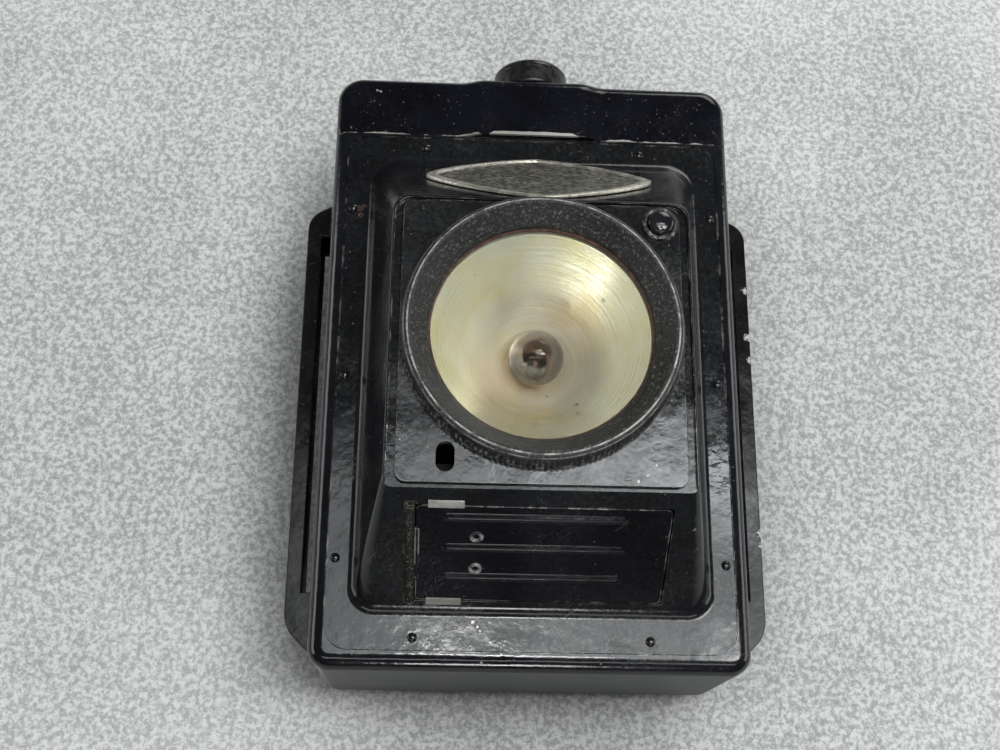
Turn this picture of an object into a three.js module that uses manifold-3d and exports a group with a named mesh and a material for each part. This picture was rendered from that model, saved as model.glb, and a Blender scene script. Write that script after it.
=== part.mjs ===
// A battery hand lantern in a pressed-steel case, about 200 mm tall, in millimetres.
// X runs to the right, Y from the front to the back and Z up. The origin is the middle of the base.
import * as THREE from 'three';
import { mergeVertices } from 'three/addons/utils/BufferGeometryUtils.js';
import Module from 'manifold-3d';

const wasm = await Module();
wasm.setup();

// Clearances
const seatGap = 0.2;
const runGap = 0.3;
const overrun = 3;

// Case and lid
const caseWidth = 129;
const caseDepth = 57;
const seamHeight = 172;
const lidHeight = 22;
const baseCorner = 6.5;
const lidCorner = 8.5;
const frontRound = 4.5;
const rearRound = 1.5;
const caseSheet = 1;
const backPanelDepth = 3;
const spigotDepth = 3;
const spigotWall = 1;
const collarBelowSeam = 14;
const collarAboveSeam = 8;
const collarWall = 1;
const collarCorner = 3;
const bossWidth = 35.5;
const bossShoulder = 5;
const bossBulge = 2.5;

// Front cover with its raised housing
const flangeSideMargin = 4.7;
const flangeBottom = 5.5;
const flangeTopMargin = 1.1;
const flangeCorner = 7;
const coverSheet = 1;
const lipReach = 3;
const housingRise = 36.6;
const housingSideMargin = 8.1;
const housingBottomMargin = 11.5;
const housingTopMargin = 8.3;
const housingBaseCorner = 9;
const housingBaseLowCorner = 6;
const housingSideLean = 8.5;
const housingBottomLean = 28.5;
const housingTopLean = 31.1;
const housingFrontCorner = 5;
const housingFrontLowCorner = 2.5;
const gutterDepth = 1.5;
const gutterRim = 0.6;
const lensPlateSideMargin = 3;
const lensPlateTopMargin = 1.65;
const lensPlateCorner = 3;
const slotSideMargin = 13.7;
const slotWidth = 5;
const slotBottomMargin = 3.1;
const slotLength = 8.4;

// Cover rivets
const rivetHeadRadius = 1.45;
const rivetHeadRise = 0.85;
const rivetShankRadius = 0.8;
const sideRivetInset = 2.3;
const sideRivetEndMargin = 26.2;
const sideRivetCount = 3;
const topRivetInset = 24.9;
const topRivetDrop = 3.7;
const bottomRivetInset = 25.4;
const bottomRivetRise = 3.5;

// Lens, bezel and reflector: the insets are measured in from the bezel's outer radius.
const lensAbovePlateMiddle = 2.325;
const bezelEndMargin = 2.8;
const neckInset = 1.6;
const neckWall = 1.4;
const neckReach = 3.9;
const neckFlangeLap = 0.6;
const neckFlangeThickness = 1.2;
const ledgeInset = 7.4;
const ledgeThickness = 1.2;
const bezelRise = 7.1;
const bezelShoulderDrop = 3.2;
const bezelRingOuterInset = 2.2;
const bezelRingInnerInset = 3;
const bezelMouthInset = 8.1;
const bezelLip = 1;
const bezelTurnedEdge = 1.1;
const bezelRingChamfer = 0.6;
const knurlDepth = 0.35;
const knurlCount = 36;
const glassInset = 5.8;
const glassThickness = 1.8;
const gasketInset = 8.7;
const gasketThickness = 0.7;
const reflectorInset = 8.8;
const reflectorDepth = 29;
const reflectorSheet = 0.6;
const throatRadius = 10.5;
const throatLength = 5;

// Bulb and socket
const bulbRadius = 8.3;
const bulbAhead = 9.6;
const bulbNeckRadius = 4.4;
const bulbNeckLength = 4.4;
const bulbWall = 0.6;
const capWall = 0.5;
const capLength = 8.7;
const capLap = 3.9;
const tipRadius = 1.6;
const tipHeight = 1.2;
const socketWall = 0.7;
const socketLength = 7.2;
const socketSetback = 0.9;
const socketCollarRadius = 8.5;
const socketCollarThickness = 1;
const bushFlangeRadius = 12.5;
const bushFlangeThickness = 1.2;
const bushSetback = 0.5;
const tongueWidth = 7;
const tongueSheet = 0.6;
const tongueFootLow = 8;
const tongueFootHigh = 22;
const tongueTipAbove = 2;
const tongueTipBelow = 3;

// Push button and switch
const buttonSideMargin = 5.7;
const buttonTopMargin = 5.55;
const buttonRadius = 3.75;
const buttonRise = 3.3;
const buttonDome = 1.5;
const buttonHeadLength = 2.3;
const buttonTravel = 2;
const stemRadius = 1.6;
const stemClipRadius = 2.7;
const stemClipThickness = 0.7;
const stemReach = 7.1;
const collarRadius = 5.3;
const collarRise = 1;
const collarTubeWall = 0.6;
const collarLedge = 0.8;
const springWire = 0.45;
const springRadius = 2.75;
const springTurns = 3;
const springStepsPerTurn = 8;
const springSides = 5;
const bladeWidth = 5;
const bladeSheet = 0.4;
const bladeSideways = 1;
const bladeBelowButton = 23.3;
const bladeAboveButton = 3.7;
const fixedBladeAboveButton = 0.7;
const switchBlockInward = 3.5;
const switchBlockDepth = 5;
const switchBlockHeight = 6.7;
const leadRadius = 1.1;

// Badge plate on the upper slope
const badgeWidth = 69.5;
const badgeLength = 45.4;
const badgeUp = 22.4;
const badgeX = 0.5;
const badgeEdge = 0.7;
const badgeLift = 2.3;
const badgeRim = 1.3;
const badgeRecess = 0.3;
const badgeTipRound = 3;
const badgeBluntRound = 14;

// Flap on the lower slope, with places measured down the slope from its top edge
const flapLeftMargin = 9.2;
const flapRightMargin = 6.3;
const flapFrom = 8;
const flapTo = 42.4;
const flapSheet = 1;
const flapGap = 0.35;
const flapCorner = 1.5;
const beadLeftMargin = 7.5;
const beadRightMargin = 12.3;
const beadFirst = 12;
const beadPitch = 10.7;
const beadCount = 3;
const beadRadius = 1.2;
const beadRise = 0.8;
const beadEndShare = 0.3;
const hingeBeyondFlap = 1.5;
const hingeOut = 0.5;
const barrelRadius = 1.25;
const hingePinRadius = 0.55;
const hingePinHeadRadius = 1.1;
const hingePinHead = 0.7;
const hingeLeafSheet = 0.7;
const hingeLeafWidth = 5;
const knuckleLength = 8;
const tabInset = 3.2;
const tabWidth = 10.1;
const tabReach = 1.8;
const tabProud = 0.15;
const flapSpringSheet = 0.5;
const flapSpringPadWidth = 17;
const hollowRivetInset = 16.9;
const hollowRivetUpper = 18.6;
const hollowRivetLower = 30.1;
const hollowRivetHead = 2;
const hollowRivetShank = 1.4;
const hollowRivetBore = 0.9;
const hollowRivetRise = 0.5;
const trayWall = 0.8;
const trayDepth = 19.5;
const trayInset = 1.2;
const trayChamfer = 5;
const spareBulbShift = 8.55;

// Battery room
const boardSetback = 7.3;
const boardSheet = 1.4;
const boardBelowSeam = 34;
const padThickness = 1.8;
const padSideMargin = 7;
const padBackMargin = 6.5;
const cellHeight = 115;
const cellCorner = 3;
const cellSideGap = 3.4;
const cellBackGap = 0.5;
const postRadius = 3;
const postRise = 10;
const innerPostInset = 17.7;
const outerPostInset = 15.1;
const postBehindMiddle = 0.25;
const linkSheet = 1.5;
const linkWidth = 11;

// Lid screw
const knobSetback = 12.5;
const knobRadius = 12.5;
const knobRise = 9.5;
const knobEdge = 1.4;
const knobFoot = 0.9;
const studRadius = 3;
const studInKnob = 4.6;
const studBelowNut = 1;
const bridgeBelowSeam = 10.2;
const bridgeSheet = 1.5;
const bridgeWidth = 14;
const bridgeLeg = 12;
const nutAcross = 12;
const nutThickness = 6;

// Strap guides on the sides and the clip on the back
const guideReach = 9;
const guideWidth = 17;
const guideSheet = 1.2;
const guideFlange = 4.6;
const guideBottom = 7.5;
const guideBelowSeam = 17;
const guideBottomSlope = 7;
const guideTopSlope = 4;
const guideFoot = 11;
const guideLowFoot = 17.5;
const guideFootSheet = 1.6;
const clipWidth = 24;
const clipSheet = 1.5;
const clipBelowSeam = 60;
const clipStepDown = 20;
const clipStepLength = 8;
const clipStand = 6.2;
const clipBottom = 0.9;
const clipToe = 7;
const clipToeIn = 2.6;
const clipRivetRadius = 2.6;
const clipRivetRise = 1.1;
const clipRivetSpread = 14;

// Counts of steps round curves
const cornerSteps = 4;
const roundSteps = 4;
const wideSegments = 36;
const midSegments = 20;
const fineSegments = 14;
const rivetSegments = 8;
const leadSides = 8;
const leadSteps = 16;

// Places worked out from the sizes above
const caseFront = -caseDepth / 2;
const caseBack = caseDepth / 2;
const lidTop = seamHeight + lidHeight;
const innerX = caseWidth / 2 - caseSheet;
const collarBottom = seamHeight - collarBelowSeam;
const collarTop = seamHeight + collarAboveSeam;
const flangeWidth = caseWidth - 2 * flangeSideMargin;
const flangeTop = seamHeight - flangeTopMargin;
const housingBaseWidth = flangeWidth - 2 * housingSideMargin;
const housingBaseBottom = flangeBottom + housingBottomMargin;
const housingBaseTop = flangeTop - housingTopMargin;
const housingFrontWidth = housingBaseWidth - 2 * housingSideLean;
const housingFrontBottom = housingBaseBottom + housingBottomLean;
const housingFrontTop = housingBaseTop - housingTopLean;
const lensPlateWidth = housingFrontWidth - 2 * lensPlateSideMargin;
const lensPlateTop = housingFrontTop - lensPlateTopMargin;
const slotX = slotSideMargin - lensPlateWidth / 2;
const slotBottom = housingFrontBottom + slotBottomMargin;
const slotTop = slotBottom + slotLength;
const sideRivetX = flangeWidth / 2 - sideRivetInset;
const sideRivetLowest = flangeBottom + sideRivetEndMargin;
const sideRivetHighest = flangeTop - sideRivetEndMargin;
const sideRivetPitch = (sideRivetHighest - sideRivetLowest) / (sideRivetCount - 1);
const topRivetX = flangeWidth / 2 - topRivetInset;
const topRivetHeight = flangeTop - topRivetDrop;
const bottomRivetX = flangeWidth / 2 - bottomRivetInset;
const bottomRivetHeight = flangeBottom + bottomRivetRise;
const backPanelFront = caseBack - backPanelDepth;
const lipFront = caseFront + coverSheet + seatGap;
const housingFront = caseFront - housingRise;
const gutterFloor = housingFront + gutterDepth;
const housingWallRear = gutterFloor + coverSheet;
const lensHeight = (housingFrontBottom + lensPlateTop) / 2 + lensAbovePlateMiddle;
const bezelRadius = Math.min(
  lensPlateWidth / 2, (housingFrontTop - housingFrontBottom) / 2 - bezelEndMargin);
const neckRadius = bezelRadius - neckInset;
const neckFlangeRadius = bezelRadius + neckFlangeLap;
const ledgeRadius = bezelRadius - ledgeInset;
const bezelRingOuter = bezelRadius - bezelRingOuterInset;
const bezelRingInner = bezelRadius - bezelRingInnerInset;
const bezelMouthRadius = bezelRadius - bezelMouthInset;
const glassRadius = bezelRadius - glassInset;
const gasketBore = bezelRadius - gasketInset;
const reflectorRadius = bezelRadius - reflectorInset;
const reflectorFocus = reflectorRadius ** 2 / (4 * reflectorDepth);
const lipRear = housingFront + seatGap;
const gasketFront = lipRear + seatGap;
const glassFront = gasketFront + gasketThickness + seatGap;
const glassRear = glassFront + glassThickness;
const reflectorRim = glassRear + seatGap;
const ledgeFront = reflectorRim + reflectorSheet + seatGap;
const neckBore = glassRadius + reflectorSheet;
const reflectorApex = reflectorRim + reflectorDepth;
const throatFront = reflectorApex - throatRadius ** 2 / (4 * reflectorFocus);
const throatRear = throatFront + throatLength;
const bulbCentre = reflectorApex - bulbAhead;
const bulbNeckFront = bulbCentre + Math.sqrt(bulbRadius ** 2 - bulbNeckRadius ** 2);
const capFront = bulbNeckFront + bulbNeckLength - capLap;
const capRadius = bulbNeckRadius + seatGap + capWall;
const tipRear = capFront + capLength + tipHeight;
const socketFront = capFront + socketSetback;
const socketBore = capRadius + runGap;
const socketRadius = socketBore + socketWall;
const bushRear = throatRear + runGap + bushFlangeThickness;
const buttonX = lensPlateWidth / 2 - buttonSideMargin;
const buttonHeight = lensPlateTop - buttonTopMargin;
const stemTip = housingFront + stemReach;
const bladeX = buttonX + bladeSideways;
const bladeBottom = buttonHeight - bladeBelowButton;
const bladeTop = buttonHeight + bladeAboveButton;
const fixedBladeTop = buttonHeight + fixedBladeAboveButton;
const switchBlockInnerX = bladeX - switchBlockInward;
const bladeFront = stemTip + runGap;
const fixedBladeFront = bladeFront + bladeSheet + buttonTravel + 2 * runGap;
const switchBlockRear = fixedBladeFront + bladeSheet + seatGap + bladeSheet;
const flapLeft = flapLeftMargin - housingFrontWidth / 2;
const flapRight = housingFrontWidth / 2 - flapRightMargin;
const beadFrom = flapLeft + beadLeftMargin;
const beadTo = flapRight - beadRightMargin;
const hingeX = flapLeft - hingeBeyondFlap;
const tabLeft = flapLeft + tabInset;
const tabRight = tabLeft + tabWidth;
const flapSpringPadRight = tabLeft + flapSpringPadWidth;
const hollowRivetX = flapLeft + hollowRivetInset;
const spareBulbX = (flapLeft + flapRight) / 2 + spareBulbShift;
const padWidth = caseWidth - 2 * padSideMargin;
const boardFront = caseFront + boardSetback;
const boardRear = boardFront + boardSheet;
const boardTop = seamHeight - boardBelowSeam;
const cellBottom = caseSheet + padThickness + 2 * seatGap;
const cellTop = cellBottom + cellHeight;
const cellNear = runGap;
const cellFar = innerX - cellSideGap;
const cellFront = boardRear + runGap;
const cellRear = caseBack - caseSheet - cellBackGap;
const innerPostX = cellNear + innerPostInset;
const outerPostX = cellFar - outerPostInset;
const postY = (cellFront + cellRear) / 2 + postBehindMiddle;
const knobY = caseFront + knobSetback;
const bridgeTop = seamHeight - bridgeBelowSeam;
const nutTop = bridgeTop - bridgeSheet - seatGap;
const guideTop = seamHeight - guideBelowSeam;
const guideOuterX = caseWidth / 2 + guideReach;
const clipTop = seamHeight - clipBelowSeam;

// Turning and joining solids

function triangleList(geometry) {
  const source = geometry.clone();
  source.deleteAttribute('normal');
  source.deleteAttribute('uv');
  const merged = mergeVertices(source);
  const index = merged.index.array;
  const kept = [];
  for (let i = 0; i < index.length; i += 3) {
    const [a, b, c] = [index[i], index[i + 1], index[i + 2]];
    if (a !== b && b !== c && c !== a) {
      kept.push(a, b, c);
    }
  }
  return { positions: merged.attributes.position.array, triangles: kept };
}

function signedVolume(positions, triangles) {
  const [a, b, c] = [new THREE.Vector3(), new THREE.Vector3(), new THREE.Vector3()];
  let total = 0;
  for (let i = 0; i < triangles.length; i += 3) {
    a.fromArray(positions, 3 * triangles[i]);
    b.fromArray(positions, 3 * triangles[i + 1]);
    c.fromArray(positions, 3 * triangles[i + 2]);
    total += a.dot(b.cross(c)) / 6;
  }
  return total;
}

function solid(geometry) {
  const { positions, triangles } = triangleList(geometry);
  const turned = signedVolume(positions, triangles) < 0 ? triangles.reverse() : triangles;
  return new wasm.Manifold(new wasm.Mesh({
    numProp: 3,
    vertProperties: new Float32Array(positions),
    triVerts: new Uint32Array(turned),
  }));
}

function geometryOf(body) {
  const mesh = body.getMesh();
  const geometry = new THREE.BufferGeometry();
  geometry.setAttribute('position', new THREE.BufferAttribute(new Float32Array(mesh.vertProperties), 3));
  geometry.setIndex(new THREE.BufferAttribute(new Uint32Array(mesh.triVerts), 1));
  geometry.computeVertexNormals();
  return geometry;
}

function cutAll(body, cutters) {
  return cutters.reduce((rest, cutter) => rest.subtract(cutter), body);
}

function joinAll(bodies) {
  return bodies.reduce((whole, next) => whole.add(next));
}

// Outlines

function arcPoints(centreX, centreY, radius, from, to, steps) {
  const points = [];
  for (let i = 0; i <= steps; i += 1) {
    const angle = from + (to - from) * i / steps;
    points.push(new THREE.Vector2(centreX + radius * Math.cos(angle), centreY + radius * Math.sin(angle)));
  }
  return points;
}

// A rectangle with round corners, as points that run anticlockwise from the lower right corner.
function roundedOutline(left, right, bottom, top, bottomCorner, topCorner = bottomCorner) {
  const corner = (x, y, radius, sideways, upwards, from) => arcPoints(
    x - sideways * radius, y - upwards * radius, radius, from, from + Math.PI / 2, cornerSteps);
  return [
    ...corner(right, bottom, bottomCorner, 1, -1, -Math.PI / 2),
    ...corner(right, top, topCorner, 1, 1, 0),
    ...corner(left, top, topCorner, -1, 1, Math.PI / 2),
    ...corner(left, bottom, bottomCorner, -1, -1, Math.PI),
  ];
}

function box(left, right, bottom, top) {
  return new THREE.Shape([
    new THREE.Vector2(left, bottom),
    new THREE.Vector2(right, bottom),
    new THREE.Vector2(right, top),
    new THREE.Vector2(left, top),
  ]);
}

function roundedBox(...sizes) {
  return new THREE.Shape(roundedOutline(...sizes));
}

function circle(x, y, radius, segments = fineSegments) {
  return new THREE.Shape(arcPoints(x, y, radius, 0, 2 * Math.PI, segments).slice(0, -1));
}

function longHole(x, bottom, top, width) {
  const radius = width / 2;
  return new THREE.Shape([
    ...arcPoints(x, top - radius, radius, 0, Math.PI, 2 * cornerSteps),
    ...arcPoints(x, bottom + radius, radius, Math.PI, 2 * Math.PI, 2 * cornerSteps),
  ]);
}

// The outline of a bent strip of sheet whose middle line runs through the points.
function bentStrip(points, sheet) {
  const [left, right] = [[], []];
  points.forEach((point, i) => {
    const before = points[Math.max(i - 1, 0)];
    const after = points[Math.min(i + 1, points.length - 1)];
    const arriving = point.clone().sub(before).normalize();
    const leaving = after.clone().sub(point).normalize();
    const along = arriving.add(leaving).normalize();
    const leg = (i > 0 ? point.clone().sub(before) : after.clone().sub(point)).normalize();
    const side = new THREE.Vector2(-along.y, along.x).multiplyScalar(sheet / 2 / along.dot(leg));
    left.push(point.clone().add(side));
    right.unshift(point.clone().sub(side));
  });
  return new THREE.Shape([...left, ...right]);
}

// Solids from outlines: each takes the outline and the two levels that it runs between.

function raised(shape, low, high, placing = new THREE.Matrix4()) {
  const geometry = new THREE.ExtrudeGeometry(shape, { depth: high - low, bevelEnabled: false });
  geometry.translate(0, 0, low);
  return solid(geometry.applyMatrix4(placing));
}

function alongX(shape, low, high) {
  const placing = new THREE.Matrix4().makeBasis(
    new THREE.Vector3(0, 1, 0), new THREE.Vector3(0, 0, 1), new THREE.Vector3(1, 0, 0));
  return raised(shape, low, high, placing);
}

function alongY(shape, front, back) {
  return raised(shape, -back, -front, new THREE.Matrix4().makeRotationX(Math.PI / 2));
}

function alongZ(shape, low, high) {
  return raised(shape, low, high);
}

function corners(...pairs) {
  return pairs.map(([x, y]) => new THREE.Vector2(x, y));
}

// A turned piece whose axis runs along Y at the given place; the profile holds radius and Y.
function turnedAlongY(profile, segments, x = 0, z = lensHeight) {
  const geometry = new THREE.LatheGeometry(corners(...profile), segments);
  geometry.translate(x, 0, z);
  return solid(geometry);
}

// A turned piece whose axis stands up at the given place; the profile holds radius and height.
function turnedUpright(profile, segments, x, y) {
  const geometry = new THREE.LatheGeometry(corners(...profile), segments);
  geometry.rotateX(Math.PI / 2);
  geometry.translate(x, y, 0);
  return solid(geometry);
}

// A solid skinned over a row of outlines that have the same number of points.
function skinned(rings) {
  const count = rings[0].length;
  const points = rings.flat();
  const triangles = [];
  for (let ring = 0; ring + 1 < rings.length; ring += 1) {
    for (let i = 0; i < count; i += 1) {
      const [a, b] = [ring * count + i, ring * count + (i + 1) % count];
      triangles.push(a, b, b + count, a, b + count, a + count);
    }
  }
  const capped = [[0, true], [rings.length - 1, false]];
  for (const [ring, flipped] of capped) {
    const middle = points.length;
    const sum = rings[ring].reduce((total, point) => total.add(point), new THREE.Vector3());
    points.push(sum.divideScalar(count));
    for (let i = 0; i < count; i += 1) {
      const [a, b] = [ring * count + i, ring * count + (i + 1) % count];
      triangles.push(middle, ...(flipped ? [b, a] : [a, b]));
    }
  }
  const geometry = new THREE.BufferGeometry().setFromPoints(points);
  geometry.setIndex(triangles);
  return solid(geometry);
}

function standing(outline, y) {
  return outline.map((point) => new THREE.Vector3(point.x, y, point.y));
}

function tube(points, radius) {
  const path = new THREE.CatmullRomCurve3(points.map((point) => new THREE.Vector3(...point)));
  const geometry = new THREE.ExtrudeGeometry(circle(0, 0, radius, leadSides), {
    steps: leadSteps,
    extrudePath: path,
    bevelEnabled: false,
  });
  return solid(geometry);
}

// Slanted frames: the lower slope's Y runs up the slope and its Z points out of the housing.

function slopeFrame(y, z, upY, upZ) {
  const across = new THREE.Vector3(1, 0, 0);
  const up = new THREE.Vector3(0, upY, upZ).normalize();
  const out = new THREE.Vector3().crossVectors(across, up);
  return new THREE.Matrix4().makeBasis(across, up, out).setPosition(0, y, z);
}

const lowerSlope = slopeFrame(
  housingFront, housingFrontBottom, -housingRise, housingFrontBottom - housingBaseBottom);
const upperSlope = slopeFrame(
  housingFront, housingFrontTop, housingRise, housingBaseTop - housingFrontTop);

function onFlapSlope(shape, low, high) {
  return raised(shape, low, high, lowerSlope);
}

// A box on the lower slope, from one side to the other and between two places down the slope.
function slopeBox(left, right, from, to) {
  return box(left, right, -to, -from);
}

// The outer form of case and lid together, or the form that lies inside it by an inset.
function caseForm(inset) {
  const rings = [];
  const ring = (y, shrink) => rings.push(standing(roundedOutline(
    -caseWidth / 2 + shrink, caseWidth / 2 - shrink, shrink, lidTop - shrink,
    baseCorner - shrink, lidCorner - shrink), y));
  const round = (edge, radius, sign, i) => {
    const angle = Math.PI / 2 * i / roundSteps;
    ring(edge + sign * (inset + radius * (1 - Math.cos(angle))), inset + radius * (1 - Math.sin(angle)));
  };
  for (let i = 0; i <= roundSteps; i += 1) {
    round(caseFront, frontRound - inset, 1, i);
  }
  for (let i = roundSteps; i >= 0; i -= 1) {
    round(caseBack, Math.max(rearRound - inset, seatGap), -1, i);
  }
  return skinned(rings);
}

function caseBlock(low, high, front = caseFront - overrun, back = caseBack + overrun) {
  return alongY(box(-caseWidth, caseWidth, low, high), front, back);
}

// Case

function rivetPlaces() {
  const places = [];
  for (const side of [-1, 1]) {
    for (let i = 0; i < sideRivetCount; i += 1) {
      places.push([side * sideRivetX, sideRivetLowest + i * sideRivetPitch]);
    }
    places.push([side * topRivetX, topRivetHeight]);
    places.push([side * bottomRivetX, bottomRivetHeight]);
  }
  return places;
}

function rivetHoles(front, back) {
  const radius = rivetShankRadius + seatGap;
  return rivetPlaces().map(([x, z]) => alongY(circle(x, z, radius, rivetSegments), front, back));
}

function bodyShell() {
  const outer = caseForm(0).intersect(caseBlock(-overrun, seamHeight, caseFront - overrun, backPanelFront));
  const lipBack = lipFront + caseSheet;
  const room = caseForm(caseSheet).intersect(
    caseBlock(0, lidTop, lipBack, caseBack + overrun));
  const rebate = alongY(roundedBox(
    -flangeWidth / 2 - seatGap, flangeWidth / 2 + seatGap, flangeBottom - seatGap, flangeTop + seatGap,
    flangeCorner), caseFront - overrun, lipFront);
  const window = alongY(box(
    -sideRivetX + lipReach, sideRivetX - lipReach,
    bottomRivetHeight + lipReach, topRivetHeight - lipReach), caseFront - overrun, lipBack + overrun);
  return cutAll(outer, [room, rebate, window, ...rivetHoles(caseFront, lipBack + overrun)]);
}

function backPanel() {
  const front = backPanelFront + seatGap;
  const pan = caseForm(0).intersect(caseBlock(-overrun, seamHeight - seatGap, front, caseBack + overrun));
  const hollow = caseForm(caseSheet).intersect(caseBlock(0, lidTop, front - overrun, caseBack));
  const ringAt = (inset) => alongY(roundedBox(
    -caseWidth / 2 + inset, caseWidth / 2 - inset, inset, lidTop, baseCorner - inset, lidCorner),
  backPanelFront - spigotDepth, caseBack - caseSheet / 2);
  const outerInset = caseSheet + seatGap;
  const spigot = ringAt(outerInset).subtract(ringAt(outerInset + spigotWall));
  return pan.subtract(hollow).add(spigot.intersect(caseBlock(-overrun, collarBottom - seatGap)));
}

function mouthCollar() {
  const half = innerX - runGap;
  const front = lipFront + caseSheet + seatGap + rivetHeadRise / 2 + runGap;
  const back = caseBack - caseSheet - runGap;
  const outer = alongZ(roundedBox(-half, half, front, back, collarCorner), collarBottom, collarTop);
  const inner = alongZ(roundedBox(
    -half + collarWall, half - collarWall, front + collarWall, back - collarWall,
    collarCorner - collarWall), collarBottom - overrun, collarTop + overrun);
  return outer.subtract(inner);
}

function lid() {
  const low = seamHeight + seatGap;
  const reach = bossWidth / 2;
  const bossPlan = new THREE.Shape(corners(
    [-reach - bossShoulder, caseFront], [-reach, caseFront - bossBulge],
    [reach, caseFront - bossBulge], [reach + bossShoulder, caseFront],
    [reach + bossShoulder, 0], [-reach - bossShoulder, 0]));
  const boss = caseForm(0).translate([0, -bossBulge, 0]).intersect(alongZ(bossPlan, low, lidTop));
  const outer = caseForm(0).add(boss).intersect(caseBlock(low, lidTop + overrun));
  const hollow = caseForm(caseSheet).intersect(caseBlock(0, lidTop));
  const studHole = alongZ(circle(0, knobY, studRadius + runGap), seamHeight, lidTop + overrun);
  return cutAll(outer, [hollow, studHole]);
}

// Front cover

function housingSide(base, front, sheet) {
  const run = Math.abs(base - front);
  return sheet * Math.hypot(run, housingRise) / housingRise;
}

function housingForm(inset, frontY) {
  const sideShift = inset ? housingSide(housingBaseWidth / 2, housingFrontWidth / 2, inset) : 0;
  const lowShift = inset ? housingSide(housingBaseBottom, housingFrontBottom, inset) : 0;
  const topShift = inset ? housingSide(housingBaseTop, housingFrontTop, inset) : 0;
  const ring = (share, y) => {
    const mix = (base, front) => base + (front - base) * share;
    const half = mix(housingBaseWidth, housingFrontWidth) / 2 - sideShift;
    return standing(roundedOutline(
      -half, half,
      mix(housingBaseBottom, housingFrontBottom) + lowShift,
      mix(housingBaseTop, housingFrontTop) - topShift,
      mix(housingBaseLowCorner, housingFrontLowCorner) - inset,
      mix(housingBaseCorner, housingFrontCorner) - inset), y);
  };
  const frontShare = (caseFront - frontY) / housingRise;
  return skinned([
    ring(0, caseFront + coverSheet + (inset ? overrun : 0)),
    ring(0, caseFront),
    ring(frontShare, frontY),
  ]);
}

function gutterCut() {
  const half = housingFrontWidth / 2 - gutterRim;
  return alongY(roundedBox(
    -half, half, housingFrontBottom - overrun, housingFrontTop - gutterRim,
    seatGap, housingFrontCorner), housingFront - overrun, gutterFloor);
}

function lensHole(front, back) {
  return alongY(circle(0, lensHeight, neckRadius + runGap, wideSegments), front, back);
}

function plateHoles(front, back) {
  const tubeRadius = buttonRadius + runGap + collarTubeWall + runGap;
  return [
    lensHole(front, back),
    alongY(circle(buttonX, buttonHeight, tubeRadius), front, back),
    alongY(longHole(slotX, slotBottom, slotTop, slotWidth), front, back),
  ];
}

function flapOpening() {
  const deep = -coverSheet - overrun;
  const left = hingeX - barrelRadius - flapGap;
  const opening = slopeBox(left, flapRight + flapGap, flapFrom - flapGap, flapTo + flapGap);
  const notches = slopeBox(
    tabLeft - flapGap, tabRight + flapGap,
    flapFrom - tabReach - flapGap, flapTo + tabReach + flapGap);
  const headReach = seatGap + hingePinHead + flapGap;
  const headNotches = slopeBox(
    hingeX - hingePinHeadRadius - flapGap, hingeX + hingePinHeadRadius + flapGap,
    flapFrom - headReach, flapTo + headReach);
  return [opening, notches, headNotches].map((shape) => onFlapSlope(shape, deep, overrun));
}

function frontCover() {
  const plate = alongY(roundedBox(
    -flangeWidth / 2, flangeWidth / 2, flangeBottom, flangeTop, flangeCorner),
  caseFront, caseFront + coverSheet);
  return cutAll(plate.add(housingForm(0, housingFront)), [
    housingForm(coverSheet, housingWallRear),
    gutterCut(),
    ...plateHoles(housingFront - overrun, housingWallRear + overrun),
    ...flapOpening(),
    ...rivetHoles(caseFront - overrun, caseFront + coverSheet + overrun),
  ]);
}

function coverRivet(x, z) {
  const headFoot = caseFront - seatGap;
  const tail = lipFront + caseSheet + seatGap;
  return turnedAlongY([
    [0, headFoot - rivetHeadRise],
    [rivetHeadRadius / 2, headFoot - rivetHeadRise * Math.cos(Math.PI / 6)],
    [rivetHeadRadius, headFoot - rivetHeadRise / 4],
    [rivetHeadRadius, headFoot],
    [rivetShankRadius, headFoot],
    [rivetShankRadius, tail],
    [rivetHeadRadius, tail],
    [rivetHeadRadius, tail + rivetHeadRise / 2],
    [0, tail + rivetHeadRise / 2],
  ], rivetSegments, x, z);
}

function lensPlate() {
  const back = gutterFloor - seatGap;
  const plate = alongY(roundedBox(
    -lensPlateWidth / 2, lensPlateWidth / 2, housingFrontBottom, lensPlateTop, lensPlateCorner),
  housingFront, back);
  return cutAll(plate, plateHoles(housingFront - overrun, back + overrun));
}

// A pointed lozenge with arcs at its four corners, on the upper slope.
function badgeRing(shrink, foot, lift) {
  const [halfWidth, halfLength] = [badgeWidth / 2, badgeLength / 2];
  const slant = Math.atan2(halfLength, halfWidth);
  const reach = (half, turn, radius) => half - (shrink + radius) / Math.sin(turn);
  const tip = reach(halfWidth, slant, badgeTipRound);
  const blunt = reach(halfLength, Math.PI / 2 - slant, badgeBluntRound);
  const spread = Math.PI / 2 - slant;
  const outline = [
    ...arcPoints(tip, 0, badgeTipRound, -spread, spread, cornerSteps),
    ...arcPoints(0, blunt, badgeBluntRound, spread, Math.PI - spread, cornerSteps),
    ...arcPoints(-tip, 0, badgeTipRound, Math.PI - spread, Math.PI + spread, cornerSteps),
    ...arcPoints(0, -blunt, badgeBluntRound, Math.PI + spread, 2 * Math.PI - spread, cornerSteps),
  ];
  return outline.map((point) => {
    const rise = badgeEdge + (badgeLift - badgeEdge) * (point.y + halfLength) / badgeLength;
    const place = new THREE.Vector3(badgeX + point.x, badgeUp + point.y, seatGap + foot + lift * rise);
    return place.applyMatrix4(upperSlope);
  });
}

function nameplate() {
  return skinned([
    badgeRing(0, 0, 0),
    badgeRing(0, 0, 1),
    badgeRing(badgeRim, 0, 1),
    badgeRing(badgeRim + badgeRecess, -badgeRecess, 1),
  ]);
}

// Lens

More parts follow.
